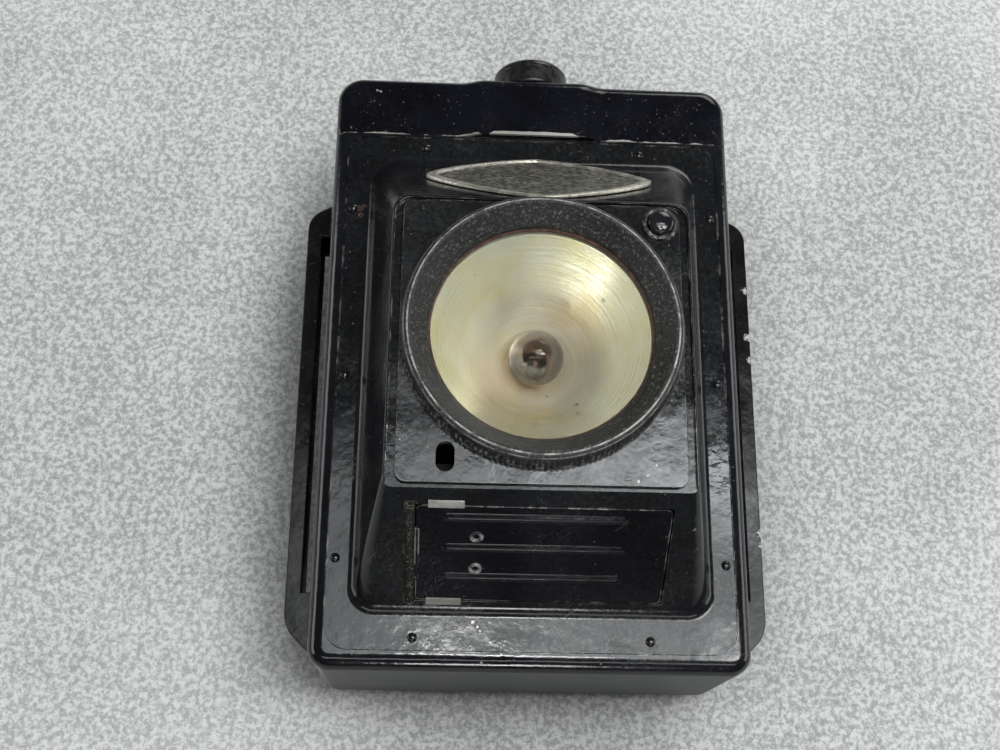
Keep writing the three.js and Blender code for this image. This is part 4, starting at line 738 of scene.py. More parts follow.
def swell(bm):
    """Moves the middle of the lid's front forward, with soft shoulders."""
    for vert in bm.verts:
        if vert.co.y < -20:
            share = min(1.0, max(0.0, (SWELL_HALF - abs(vert.co.x)) / SHOULDER))
            vert.co.y -= SWELL_RISE * share * share * (3 - 2 * share)


lid = block(-CASE_HALF, CASE_HALF, SEAM + SEAM_GAP, LID_TOP, 0, TOP_CORNER, CASE_FRONT, CASE_BACK, 14)
round_rim(lid, CASE_FRONT, SEAM + SEAM_GAP, FRONT_ROUND, 10)
round_rim(lid, CASE_BACK, SEAM + SEAM_GAP, REAR_ROUND, 5)
hollow = block(-INNER_HALF, INNER_HALF, 150, LID_TOP - SHEET, 0, TOP_CORNER - SHEET,
               CASE_FRONT + SHEET, CASE_BACK - SHEET, 10)
round_edges(hollow, edges_where(hollow, lambda p: p.y < CASE_FRONT + SHEET + NEAR and p.z > 160), 3.4, 6)
lid = cut(lid, hollow)
for step in range(-26, 27):
    if abs(step) > 14 or step == 0:
        divide(lid, (step, 0, 0), (1, 0, 0))
swell(lid)
finished("lid_shell", soften(lid, 0.14, 2, FOLD_ANGLE), lid_paint, "lid", ("lid",))

# %% [markdown]
# ## Front cover
# The cover is one pressing: a flat flange with ten rivets and a tapered housing whose corner rounds get
# smaller towards the front. Outlines with the same number of corner points are bridged, so the side walls
# become ruled surfaces. The turn from flange to wall is rounded like the die that pressed it. The lens
# plate is a piece of its own and lies in a recess of the housing's front.

# %% Outside of the cover
HOUSING_FRONT, HOUSING_LOW, HOUSING_HIGH = -65.1, 45.5, 131.5
BASE_HALF, BASE_LOW, BASE_HIGH = 51.7, 17, 162.6

outer = gathered(blank(-59.8, 59.8, 5.5, 170.9, 7, 7, CASE_FRONT),
                 blank(-BASE_HALF, BASE_HALF, BASE_LOW, BASE_HIGH, 6, 9, CASE_FRONT),
                 blank(-43.2, 43.2, HOUSING_LOW, HOUSING_HIGH, 2.5, 5, HOUSING_FRONT))
flange_faces = [f for f in outer.faces if f.calc_center_median().y > -60]
bmesh.ops.delete(outer, geom=flange_faces, context="FACES_ONLY")


def on_base(p):
    """Whether a point is on the outline where the housing leaves the flange."""
    return (abs(p.y - CASE_FRONT) < NEAR and abs(p.x) < BASE_HALF + 0.1
            and BASE_LOW - 0.1 < p.z < BASE_HIGH + 0.1)


rim_loop = edges_where(outer, lambda p: abs(p.y - CASE_FRONT) < NEAR and not on_base(p))
base_loop = edges_where(outer, on_base)
front_loop = edges_where(outer, lambda p: p.y < -60)
bmesh.ops.bridge_loops(outer, edges=rim_loop + base_loop)
bmesh.ops.bridge_loops(outer, edges=[e for e in outer.edges if e in base_loop] + front_loop)
back = bmesh.ops.extrude_edge_only(outer, edges=rim_loop)
bmesh.ops.translate(outer, vec=(0, SHEET, 0), verts=points_in(back))
bmesh.ops.contextual_create(outer, geom=edges_where(outer, lambda p: p.y > CASE_FRONT + 0.9))
bmesh.ops.recalc_face_normals(outer, faces=outer.faces[:])
round_edges(outer, edges_where(outer, on_base), 2.0, 5)
round_edges(outer, edges_where(outer, lambda p: abs(p.y - HOUSING_FRONT) < NEAR), 0.35, 3)
print("outside of the cover:", len(outer.faces), "faces")

# %% Places on the slopes
LOWER_SLOPE = Matrix(((1, 0, 0, 0), (0, -0.78901, -0.61440, HOUSING_FRONT),
                      (0, 0.61440, -0.78901, HOUSING_LOW), (0, 0, 0, 1)))
UPPER_SLOPE = Matrix(((1, 0, 0, 0), (0, 0.76203, -0.64751, HOUSING_FRONT),
                      (0, 0.64751, 0.76203, HOUSING_HIGH), (0, 0, 0, 1)))
LAID_FLAT = Matrix(((1, 0, 0, 0), (0, 0, 1, 0), (0, 1, 0, 0), (0, 0, 0, 1)))


def on_slope(left, right, start, end, low, high, corner=0.0):
    """A block on the lower slope; start and end are measured down from its top edge, low and high out."""
    bm = blank(left, right, -end, -start, corner, corner, 0)
    bmesh.ops.transform(bm, matrix=LAID_FLAT, verts=bm.verts[:])
    bmesh.ops.translate(bm, vec=(0, 0, low), verts=bm.verts[:])
    pull(bm, (0, 0, high - low))
    bmesh.ops.transform(bm, matrix=LOWER_SLOPE, verts=bm.verts[:])
    bmesh.ops.recalc_face_normals(bm, faces=bm.faces[:])
    return bm


print("slopes lean", round(math.degrees(math.asin(-LOWER_SLOPE[1][1])), 1), "and",
      round(math.degrees(math.asin(UPPER_SLOPE[1][1])), 1), "degrees")

# %% Cover with its openings
LENS_Z, BUTTON_X, BUTTON_Z = 90.0, 34.5, 124.3
LENS_HOLE, BUTTON_HOLE, SLOT_CORNER = 38.9, 4.95, 2.49
SLOT = (-29.0, -24.0, 48.6, 57.0)
THROUGH = (-70, -60)
FLAP_OPENING = (-37.1, 37.25, 7.65, 42.75)
SPRING_OPENING = (-31.15, -20.35, 5.85, 44.55)
HINGE_OPENING = (-36.95, -34.05, 6.75, 43.65)


def round_hole(x, z, radius, steps=48):
    front, back = THROUGH
    return turned([(0, front), (radius, front), (radius, back), (0, back)], steps, into_lantern(x, z))


def front_openings():
    """What is cut out of both the housing and the plate before it: lens, button and slot."""
    return [round_hole(0, LENS_Z, LENS_HOLE, 96), round_hole(BUTTON_X, BUTTON_Z, BUTTON_HOLE),
            block(*SLOT, SLOT_CORNER, SLOT_CORNER, *THROUGH, 10)]


inner = gathered(blank(-50.5, 50.5, 18.3, 161.3, 5, 8, -27.4),
                 blank(-42.0, 42.0, 46.9, 130.1, 1.6, 4, -62.6))
bmesh.ops.bridge_loops(inner, edges=inner.edges[:])
bmesh.ops.recalc_face_normals(inner, faces=inner.faces[:])
bmesh.ops.translate(inner, vec=(0, 0.2, 0), verts=[v for v in inner.verts if v.co.y > -40])
gutter = block(-42.6, 42.6, 40, 130.9, 0.2, 5, -70, -63.6)
cover = cut(outer, inner, gutter, *front_openings(),
            *[on_slope(*opening, -6, 4) for opening in (FLAP_OPENING, SPRING_OPENING, HINGE_OPENING)])
finished("cover_shell", soften(cover, 0.10, 2, 46), cover_paint,
         stands_for=("front_cover",))

# %% Lens plate
plate = cut(block(-40.2, 40.2, HOUSING_LOW, 129.85, 3, 3, HOUSING_FRONT, -63.8, 10), *front_openings())
finished("plate_front", soften(plate, 0.45, 4, FOLD_ANGLE), plate_paint,
         stands_for=("lens_plate",))

# %% [markdown]
# ## Rivets
# Each rivet has a small domed head set by a punch. The tiny highlight in every head is what makes a row
# of rivets read as metal.

# %% Rivets
def rivet(name, node_name, x, z):
    head = [(0, -29.55), (0.5, -29.50), (0.95, -29.33), (1.28, -29.05), (1.45, -28.62), (1.42, -28.52),
            (0.8, -28.5), (0.8, -26.1), (1.45, -26.1), (1.3, -25.8), (0, -25.7)]
    finished(name, turned(head, 28, into_lantern(x, z)), rivet_paint,
             stands_for=(node_name,), angle=50)


RIVET_SIDE, LOWEST_RIVET, RIVET_PITCH = 57.5, 31.7, 56.5
places = []
for side in (-1, 1):
    places += [(side * RIVET_SIDE, LOWEST_RIVET + RIVET_PITCH * step) for step in range(3)]
    places += [(side * 34.9, 167.2), (side * 34.4, 9.0)]
for count, (x, z) in enumerate(places, 1):
    rivet(f"rivet_{count}", f"cover_rivet_{count}", x, z)
print("rivets:", len(places))

# %% [markdown]
# ## Lens, bezel and reflector
# The bezel screws onto the neck over the glass and its gasket. Its skirt is knurled for the fingers, and
# its crest carries fine serrations. Both patterns come from moving two of every four columns of the spun
# mesh. The reflector is a paraboloid, so its profile follows radius squared over four times the focus.

# %% Bezel
KNURLS, KNURL_DEPTH, SERRATION = 160, 0.32, 0.14
COLUMNS = 4 * KNURLS
skirt = [(40.2, -65.35), (40.2, -65.8), (40.2, -66.1), (40.2, -68.3), (40.05, -68.9), (39.75, -69.6),
         (39.4, -70.6)]
crest = [(39.1, -71.35), (38.75, -71.8), (38.3, -72.08), (37.95, -72.15), (37.45, -72.12), (37.1, -71.95)]
inner_slope = [(36.7, -71.4), (35.6, -70.1), (34.2, -68.4), (33.0, -67.0), (32.45, -66.35), (32.15, -65.9),
               (32.1, -65.4), (32.1, -64.9)]
behind = [(36.9, -64.9), (36.9, -68.7), (38.9, -69.3), (38.9, -65.35)]
bezel = turned(skirt + crest + inner_slope + behind, COLUMNS, into_lantern(0, LENS_Z), closed=True)
for vert in bezel.verts:
    x, z = vert.co.x, vert.co.z - LENS_Z
    column = round(math.atan2(z, x) / (2 * math.pi) * COLUMNS) % 4
    radius = math.hypot(x, z)
    if radius > 39.0 and -70.2 < vert.co.y < -65.6 and column in (1, 2):
        shrink = (radius - KNURL_DEPTH) / radius
        vert.co.x, vert.co.z = x * shrink, LENS_Z + z * shrink
    if radius > 37.3 and vert.co.y < -71.9 and column in (0, 2):
        vert.co.y += SERRATION
finished("bezel_ring", bezel, bezel_metal, "bezel", ("lens_bezel",), angle=28)

# %% Glass, gasket and neck
glass = turned([(0, -63.8), (34.0, -63.8), (34.4, -63.4), (34.4, -62.4), (34.0, -62.0), (0, -62.0)],
               96, into_lantern(0, LENS_Z))
finished("glass_disc", glass, clear_glass, stands_for=("lens_glass",))
gasket = turned([(31.5, -64.6), (31.7, -64.7), (34.2, -64.7), (34.4, -64.5), (34.4, -64.1), (31.6, -64.0),
                 (31.5, -64.1)], 96, into_lantern(0, LENS_Z), closed=True)
finished("gasket_ring", gasket, gasket_cork, "bezel_carrier", ("lens_gasket",))
refined("lens_neck", "neck_tube", rubbed_steel, width=0.1)

# %% Reflector
FOCUS, RIM_Y, RIM_RADIUS, THROAT, BOWL_STEPS = 8.5, -61.8, 31.4, 5.4, 36
APEX = RIM_Y + RIM_RADIUS ** 2 / (4 * FOCUS)
radii = [THROAT + (RIM_RADIUS - THROAT) * step / BOWL_STEPS for step in range(BOWL_STEPS + 1)]
bowl = [(radius, APEX - radius ** 2 / (4 * FOCUS)) for radius in radii]
rim = [(31.9, RIM_Y), (34.4, RIM_Y), (34.4, -61.2), (32.2, -61.2)]
outside = [(radius + 0.5, height + 0.4) for radius, height in reversed(bowl[:-1]) if radius > 10.7]
sleeve = [(11.1, -35.0), (11.1, -31.04), (10.5, -31.04), (10.5, -34.8)]
reflector = turned(bowl + rim + outside + sleeve, 128, into_lantern(0, LENS_Z), closed=True)
finished("reflector_bowl", reflector, silvering, stands_for=("reflector",), angle=40)

# %% [markdown]
# ## Bulb
# The bulb is a small globe on a brass screw cap. A glass stem inside carries two support wires and a short
# coiled filament, which the reflector multiplies into rings. The foot of the cap is shaped as the insulator
# and the solder tip that make the contact, all in the cap's brass finish.

# %% Globe and cap
BULB_Y, BULB_R, NECK_R, BULB_WALL = -42.40, 8.3, 4.4, 0.6
THREAD_PITCH, THREAD_DEPTH = 1.6, 0.22


def bulb_glass(place):
    """The globe and its neck as one glass wall, with a closed front."""
    last = math.degrees(math.asin(NECK_R / BULB_R))
    bore = NECK_R - BULB_WALL
    outside = arc(0, 0, BULB_R, -90, 90 - last, 26) + [(NECK_R, 8.0), (NECK_R, 11.4)]
    inside = [(bore, 11.4), (bore, 8.0)] + arc(0, 0, BULB_R - BULB_WALL, 90 - last, -90, 26)
    profile = [(max(0.0, radius), height) for radius, height in outside + inside]
    return turned(profile, 48, place)


def bulb_cap(place):
    """A screw cap: a wave along its wall is the rolled thread, and its foot carries the insulator."""
    heights = [7.6 + 0.2 * step for step in range(38)]
    wall = [(4.95 + THREAD_DEPTH * math.sin(2 * math.pi * (height - 7.6) / THREAD_PITCH), height)
            for height in heights]
    foot = [(4.6, 15.6), (3.0, 16.3), (1.6, 16.5), (1.6, 17.2), (1.0, 17.44), (0, 17.44)]
    return turned([(4.6, 7.5)] + wall + foot, 40, place)


print("bulb's globe:", 2 * BULB_R, "mm across")

# %% Stem and filament
COIL_TURNS, COIL_STEPS, COIL_RISE, COIL_RADIUS = 9, 108, 0.034, 0.32


def filament(place):
    """A glass stem, two support wires and the filament between them."""
    stem = turned([(0, 11.2), (2.6, 11.2), (2.2, 8.5), (1.3, 6.2), (0.9, 4.6), (0, 4.2)], 20, place)
    wires = []
    for side in (-1, 1):
        wire = turned([(0, 5.0), (0.17, 5.0), (0.17, -0.4), (0, -0.5)], 8, Matrix.Identity(4))
        for vert in wire.verts:
            vert.co.x += side * (0.5 + (5.0 - vert.co.z) * 0.27)
        bmesh.ops.transform(wire, matrix=place, verts=wire.verts[:])
        wires.append(wire)
    coil = bmesh.new()
    seed = bmesh.ops.create_circle(coil, segments=6, radius=0.10)
    bmesh.ops.rotate(coil, cent=(0, 0, 0), matrix=Matrix.Rotation(math.pi / 2, 3, "X"), verts=seed["verts"])
    bmesh.ops.translate(coil, vec=(COIL_RADIUS, 0, 0), verts=seed["verts"])
    bmesh.ops.spin(coil, geom=coil.verts[:] + coil.edges[:], cent=(0, 0, 0), axis=(0, 0, 1),
                   dvec=(0, 0, COIL_RISE), angle=2 * math.pi * COIL_TURNS, steps=COIL_STEPS,
                   use_duplicate=False)
    bmesh.ops.translate(coil, vec=(0, 0, -1.83), verts=coil.verts[:])
    bmesh.ops.rotate(coil, cent=(0, 0, 0), matrix=Matrix.Rotation(math.pi / 2, 3, "Y"), verts=coil.verts[:])
    bmesh.ops.translate(coil, vec=(0, 0, -0.3), verts=coil.verts[:])
    bmesh.ops.transform(coil, matrix=place, verts=coil.verts[:])
    return gathered(stem, *wires, coil)


print("filament:", COIL_TURNS, "turns on", round(COIL_STEPS * COIL_RISE, 2), "mm")

# %% Bulb, spare bulb and socket
in_reflector = into_lantern(0, LENS_Z) @ Matrix.Translation((0, 0, BULB_Y))
lying = Matrix(((0, 0, 1, 0), (1, 0, 0, 0), (0, 1, 0, 0), (0, 0, 0, 1)))
in_tray = LOWER_SLOPE @ Matrix.Translation((10, -25.2, -11.4)) @ lying
for label, node_name, place in (("bulb", "bulb", in_reflector), ("spare", "spare_bulb", in_tray)):
    finished(f"{label}_globe", bulb_glass(place), bulb_glass_painted_dark,
             stands_for=(f"{node_name}_glass",))
    finished(f"{label}_filament", filament(place), rubbed_steel)
    finished(f"{label}_base", bulb_cap(place), brass, stands_for=(f"{node_name}_cap",))
refined("bulb_socket", "socket_tube", brass, width=0.12)
bush = refined("socket_insulator", "socket_bush", fibre, width=0.2)
BOWL_FOOT, BEHIND_BOWL = -35.0 * MM, -33.2 * MM
for vert in bush.data.vertices:
    if vert.co.y < BOWL_FOOT:
        vert.co.y = BEHIND_BOWL
refined("socket_tongue", "tongue_spring", brass, width=0.12)

# %% [markdown]
# ## Push button
# A glossy black button slides in a rolled metal collar. Behind the plate its stem reaches the moving
# contact blade, and a small coil spring pushes it back.

# %% Push button
BUTTON_TIP, BUTTON_RADIUS, DOME_RISE = -68.4, 3.75, 1.5
angles = [math.radians(angle) for angle in range(6, 91, 6)]
dome = [(BUTTON_RADIUS * math.sin(angle), BUTTON_TIP + DOME_RISE * (1 - math.cos(angle)))
        for angle in angles]
stem = [(3.75, -66.3), (3.6, -66.1), (1.6, -66.1), (1.6, -61.4), (2.7, -61.4), (2.7, -60.7), (1.6, -60.7),
        (1.6, -58.2), (1.4, -58.0), (0, -58.0)]
button = turned([(0, BUTTON_TIP)] + dome + stem, 48, into_lantern(BUTTON_X, BUTTON_Z))
finished("button_dome", button, black_plastic, "button", ("push_button",))
collar = turned([(4.05, -65.9), (4.15, -66.2), (4.4, -66.3), (4.8, -66.26), (5.12, -66.0), (5.3, -65.6),
                 (5.3, -65.3), (4.65, -65.3), (4.65, -61.6), (1.9, -61.6), (1.9, -62.4), (4.05, -62.4)],
                48, into_lantern(BUTTON_X, BUTTON_Z), closed=True)
finished("button_ring", collar, bezel_metal, stands_for=("button_collar",))

# %% Spring and switch
spring = refined("button_spring", "return_spring", rubbed_steel, width=0)
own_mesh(spring)
refined("contact_blade_moving", "blade_moving", brass, "blade", width=0.08)
refined("contact_blade_fixed", "blade_fixed", brass, width=0.08)
refined("switch_block", "switch_base", fibre, width=0.4)

# %% [markdown]
# ## Badge plate
# A lozenge of plated metal sits on the upper slope, tilted off the paint at its upper tip. It has a
# raised rim and a plain field that has gone dull and speckled.

# %% Badge plate
HALF_WIDTH, HALF_LENGTH, FULLNESS = 34.75, 22.7, 1.35
OUTLINE_POINTS, FIELD_AREA, BADGE_SHEET = 112, 300, 1.0


def bulged_lozenge():
    """A flat lozenge with slightly full sides: the higher the fullness, the rounder the outline."""
    bm = bmesh.new()
    verts = []
    for step in range(OUTLINE_POINTS):
        angle = 2 * math.pi * step / OUTLINE_POINTS
        across, along = math.cos(angle), math.sin(angle)
        verts.append(bm.verts.new((math.copysign(abs(across) ** (2 / FULLNESS), across) * HALF_WIDTH,
                                   math.copysign(abs(along) ** (2 / FULLNESS), along) * HALF_LENGTH, 0)))
    bm.faces.new(verts)
    bmesh.ops.remove_doubles(bm, verts=bm.verts[:], dist=0.05)
    return bm


badge = pull(bulged_lozenge(), (0, 0, BADGE_SHEET))
round_edges(badge, edges_where(badge, lambda p: p.z > BADGE_SHEET - NEAR), 0.5, 4)
for border, drop in ((1.5, 0.0), (1.8, 0.35)):
    top = [f for f in badge.faces if f.calc_area() > FIELD_AREA and f.calc_center_median().z > 0.5]
    made = bmesh.ops.extrude_face_region(badge, geom=top)
    bmesh.ops.delete(badge, geom=top, context="FACES_ONLY")
    inner_edge = points_in(made)
    width = (HALF_WIDTH - 1.84 * border) / max(vert.co.x for vert in inner_edge)
    length = (HALF_LENGTH - 1.19 * border) / max(vert.co.y for vert in inner_edge)
    bmesh.ops.scale(badge, vec=(width, length, 1), verts=inner_edge)
    bmesh.ops.translate(badge, vec=(0, 0, -drop), verts=inner_edge)
bmesh.ops.recalc_face_normals(badge, faces=badge.faces[:])
for face in badge.faces:
    if face.calc_area() > FIELD_AREA and 0.5 < face.calc_center_median().z < 0.8:
        face.material_index = 1
soften(badge, 0.14, 3, 25)
for vert in badge.verts:
    rise = 0.7 + 0.8 * (vert.co.y + HALF_LENGTH) / HALF_LENGTH
    vert.co.z = 0.2 + vert.co.z * rise
    vert.co += Vector((0.5, 22.4, 0))
bmesh.ops.transform(badge, matrix=UPPER_SLOPE, verts=badge.verts[:])
finished("badge", badge, [badge_metal, badge_field], stands_for=("nameplate",))

# %% [markdown]
# ## Flap
# The flap was stamped from sheet with three stiffening beads. The flat plate is first divided along the
# beads' lines and then its points are lifted, so that the beads blend into the sheet as pressed ones do.

# %% Flap sheet
BEADS, BEAD_LEFT, BEAD_RIGHT, BEAD_REACH, BEAD_RISE = (12.0, 22.7, 33.4), -25.3, 23.4, 1.45, 0.8
HINGE_X, HINGE_OUT, FLAP_KNUCKLE = -35.5, 0.5, (16.3, 34.1)


def bead_height(x, down):
    """How far a point of the sheet is pressed out; a bead's section is one wave of a cosine."""
    best = 0.0
    for centre in BEADS:
        off = max(0.0, BEAD_LEFT - x, x - BEAD_RIGHT)
        reach = math.hypot(off, down - centre) / BEAD_REACH
        if reach < 1:
            best = max(best, 0.5 * (1 + math.cos(math.pi * reach)))
    return BEAD_RISE * best


def in_flap_frame(bm):
    bmesh.ops.transform(bm, matrix=LOWER_SLOPE, verts=bm.verts[:])
    bmesh.ops.recalc_face_normals(bm, faces=bm.faces[:])
    return bm


panel = bmesh.new()
corners = [panel.verts.new(place) for place in
           ((-34, -42.4, 0), (36.9, -42.4, 0), (36.9, -8, 0), (-34, -8, 0))]
panel.faces.new(corners)
round_corners(panel, corners, 1.5, 5)
before = (-1.45, -1.2, -0.95, -0.7, -0.45, -0.2, 0)
for down in [centre + off for centre in BEADS for off in before + (0.2, 0.45, 0.7, 0.95, 1.2, 1.45)]:
    divide(panel, (0, -down, 0), (0, 1, 0))
for across in [end + off for end in (BEAD_LEFT, BEAD_RIGHT) for off in before + (0.3,)]:
    divide(panel, (across, 0, 0), (1, 0, 0))
for across in (23.9, 24.2, 24.5, 24.85):
    divide(panel, (across, 0, 0), (1, 0, 0))
under = panel.copy()
bmesh.ops.translate(under, vec=(0, 0, -1.0), verts=under.verts[:])
bmesh.ops.reverse_faces(under, faces=under.faces[:])
for vert in panel.verts:
    vert.co.z += bead_height(vert.co.x, -vert.co.y)
panel = gathered(panel, under)
bmesh.ops.bridge_loops(panel, edges=[e for e in panel.edges if len(e.link_faces) == 1])
soften(panel, 0.22, 3, FOLD_ANGLE)
print("flap sheet:", len(panel.faces), "faces")


# %% Knuckles and the finished flap
KNUCKLE_BORE, KNUCKLE_RADIUS = 0.62, 1.22


def knuckle(start, end, seed):
    """A rolled knuckle on the hinge line, roughened by rust, between two places down the slope."""
    rows = max(4, round((end - start) / 0.7))
    wall = [(KNUCKLE_RADIUS, start + (end - start) * row / rows) for row in range(rows + 1)]
    profile = [(KNUCKLE_BORE, start)] + wall + [(KNUCKLE_BORE, end)]
    bm = turned(profile, 24, Matrix.Identity(4), closed=True)
    for vert in bm.verts:
        if math.hypot(vert.co.x, vert.co.y) > 1:
            rough = noise.noise(vert.co * 1.7 + Vector((seed, 0, 0))) * 0.14
            vert.co.x *= 1 + rough
            vert.co.y *= 1 + rough
    place = Matrix.Translation((HINGE_X, 0, HINGE_OUT)) @ Matrix.Rotation(math.pi / 2, 4, "X")
    bmesh.ops.transform(bm, matrix=place, verts=bm.verts[:])
    return in_flap_frame(bm)


neck = on_slope(-35.3, -33.2, *FLAP_KNUCKLE, -1.0, -0.05, corner=0.2)
panel = gathered(in_flap_frame(panel), neck)
panel.faces.ensure_lookup_table()
sheet_faces = len(panel.faces)
flap = gathered(panel, knuckle(*FLAP_KNUCKLE, 3.0))
flap.faces.ensure_lookup_table()
for face in flap.faces[sheet_faces:]:
    face.material_index = 1
finished("flap_plate", flap, [flap_paint, rusty_steel], "flap", ("flap_panel",), angle=40)
refined("flap_spring", "flap_catch", rubbed_steel, "flap", width=0.12)

# %% Hollow rivets, hinge and tray
hollow_rivet = [(0.9, 0.35), (1.1, 0.62), (1.45, 0.7), (1.8, 0.6), (2.0, 0.3), (1.95, 0.1), (1.4, 0.02),
                (1.4, -1.9), (2.0, -1.9), (1.8, -2.3), (1.1, -2.3), (0.9, -2.0)]
for label, down in (("upper", 18.6), ("lower", 30.1)):
    ring = turned(hollow_rivet, 36, Matrix.Translation((-17.1, -down, 0)), closed=True)
    finished(f"hollow_rivet_{label}", in_flap_frame(ring), bezel_metal, "flap",
             (f"flap_rivet_{label}",))

UPPER_KNUCKLE, LOWER_KNUCKLE = (8.0, 16.0), (34.4, 42.4)
leaf = gathered(knuckle(*UPPER_KNUCKLE, 9.0), knuckle(*LOWER_KNUCKLE, 14.0),
                on_slope(-41.05, -36.05, 8, 42.4, -1.9, -1.2, corner=0.4),
                on_slope(-36.75, -36.05, *UPPER_KNUCKLE, -1.9, 0.4),
                on_slope(-36.75, -36.05, *LOWER_KNUCKLE, -1.9, 0.4))
finished("hinge_plate", leaf, rusty_steel, stands_for=("hinge_leaf",), angle=40)
refined("hinge_pin", "hinge_rod", rusty_steel, width=0.15)
refined("bulb_tray", "tray_box", rubbed_steel, width=0.2)

# %% [markdown]
# ## Knob and lid screw
# A moulded black knob turns a steel stud that screws into a nut under a bridge inside the mouth. One
# screw holds the lid. The knob's rim is rounded by years of use.

# %% Knob, stud and bridge
KNOB_Y, STUD_RADIUS, STUD_THREAD, STUD_PITCH = -16, 3.0, 0.22, 0.5
lower_knob = [(0, 199.0), (3.2, 199.0), (3.2, 194.2), (11.4, 194.2), (12.1, 194.5), (12.5, 195.2),
              (12.5, 200.2)]
knob_top = arc(9.9, 200.9, 2.6, -15, 90, 10) + [(6.0, 203.45), (0, 203.3)]
knob = turned(lower_knob + knob_top, 64, along_z(0, KNOB_Y))
finished("knob_cap", knob, knob_plastic, "lid_screw", ("lid_knob",), angle=40)
thread = [(STUD_RADIUS - STUD_THREAD * (step % 2), 153.6 + STUD_PITCH * step) for step in range(30)]
stud = turned([(0, 152.9), (2.5, 152.9), (STUD_RADIUS, 153.4)] + thread
              + [(STUD_RADIUS, 168.8), (STUD_RADIUS, 198.8), (0, 198.8)], 32, along_z(0, KNOB_Y))
finished("stud_rod", stud, rubbed_steel, "lid_screw", ("knob_stud",))
refined("lid_bridge", "bridge_bar", plate_paint, width=0.3)
refined("bridge_nut", "nut", rubbed_steel, width=0.35)
refined("mouth_collar", "collar_band", rubbed_steel, width=0.15)

# %% [markdown]
# ## Strap guides and rear clip
# A channel on each side takes the carrying strap, and a sprung clip on the back hangs the lantern on a
# belt. Their corners are bent rather than cut, so each bend is rounded.

# %% Strap guides
GUIDE_WALL, GUIDE_OUT, GUIDE_LOW, GUIDE_HIGH, GUIDE_HALF = 64.7, 73.5, 7.5, 155.0, 8.5
FOOT_SHEET, FOOT_TOP, HEAD_FOOT = 1.6, 23.8, 145.2


def guide_block(inset, half):
    """The folded channel's outline as a solid; an inset one hollows the channel out towards the case."""
    bm = bmesh.new()
    start = GUIDE_WALL - (3 if inset else 0)
    out, low, high = GUIDE_OUT - inset, GUIDE_LOW + inset, GUIDE_HIGH - inset
    line = [(start, low), (GUIDE_WALL + FOOT_SHEET, low), (out, low + 7 - inset / 2),
            (out, high - 4 + inset / 2), (GUIDE_WALL + FOOT_SHEET, high), (start, high)]
    face = bm.faces.new([bm.verts.new((x, -half, z)) for x, z in line])
    pull(bm, (0, 2 * half, 0), [face])
    bends = [e for e in bm.edges if abs(e.verts[0].co.y - e.verts[1].co.y) > half
             and e.verts[0].co.x > out - NEAR]
    return round_edges(bm, bends, 4.0 - inset, 6)


def guide(name, node_name, side):
    bar = cut(guide_block(0, GUIDE_HALF), guide_block(1.2, GUIDE_HALF - 1.2),
              block(GUIDE_WALL - 3, GUIDE_OUT - 4.6, 25, 144, 0, 0, -20, 20))
    feet = [block(GUIDE_WALL, GUIDE_WALL + FOOT_SHEET, low, high, 0, 0, -GUIDE_HALF, GUIDE_HALF)
            for low, high in ((GUIDE_LOW, FOOT_TOP), (HEAD_FOOT, GUIDE_HIGH))]
    whole = soften(gathered(bar, *feet), 0.35, 3, FOLD_ANGLE)
    if side < 0:
        bmesh.ops.mirror(whole, geom=whole.verts[:] + whole.edges[:] + whole.faces[:], axis="X",
                         merge_dist=-1)
        kept = [f for f in whole.faces if f.calc_center_median().x > 0]
        bmesh.ops.delete(whole, geom=kept, context="FACES")
    finished(name, whole, strap_paint, stands_for=(node_name,))


guide("guide_left", "strap_guide_left", -1)
guide("guide_right", "strap_guide_right", 1)

# %% Rear clip
CLIP_ROOT, CLIP_SHEET, CLIP_HALF = 29.45, 1.5, 12
clip = bmesh.new()
line = [(CLIP_ROOT, 112.0), (CLIP_ROOT, 92.0), (34.7, 84.0), (34.7, 7.9), (32.1, 0.9)]
chain = [clip.verts.new((-CLIP_HALF, y, z)) for y, z in line]
edges = [clip.edges.new(pair) for pair in zip(chain, chain[1:])]
made = bmesh.ops.extrude_edge_only(clip, edges=edges)
bmesh.ops.translate(clip, vec=(2 * CLIP_HALF, 0, 0), verts=points_in(made))
round_corners(clip, [v for v in clip.verts if v.co.z > 111.9], 4.0, 8)
round_edges(clip, [e for e in clip.edges if len(e.link_faces) == 2], 3.0, 6)
bmesh.ops.recalc_face_normals(clip, faces=clip.faces[:])
bmesh.ops.solidify(clip, geom=clip.faces[:], thickness=CLIP_SHEET)
root_depths = [v.co.y for v in clip.verts if v.co.z > 95]
middle = sum(root_depths) / len(root_depths)
bmesh.ops.translate(clip, vec=(0, CLIP_ROOT - middle, 0), verts=clip.verts[:])
soften(clip, 0.3, 3, FOLD_ANGLE)
head = [(0, 31.25), (0.9, 31.2), (1.8, 30.95), (2.4, 30.5), (2.6, 30.1), (2.6, 29.6), (0, 29.6)]
heads = [turned(head, 32, into_lantern(side * 7, 102)) for side in (-1, 1)]
finished("belt_clip", gathered(clip, *heads), strap_paint, stands_for=("rear_clip",))

# %% [markdown]
# ## Inside the case
# Two cells stand behind a fibre board. Their tops are sealed with pitch, and brass posts join them in
# series. Cloth-covered leads run to the switch and the lamp socket.

# %% Cells
CELL_NEAR, CELL_FAR, CELL_FRONT, CELL_BACK = 0.3, 60.1, -19.5, 27.0
CELL_FOOT, CELL_HEIGHT, WIDE_FACE = 3.2, 115, 500
POST_RADIUS, POST_THREAD, POST_PITCH, POST_Y = 3.0, 0.25, 0.6, 4


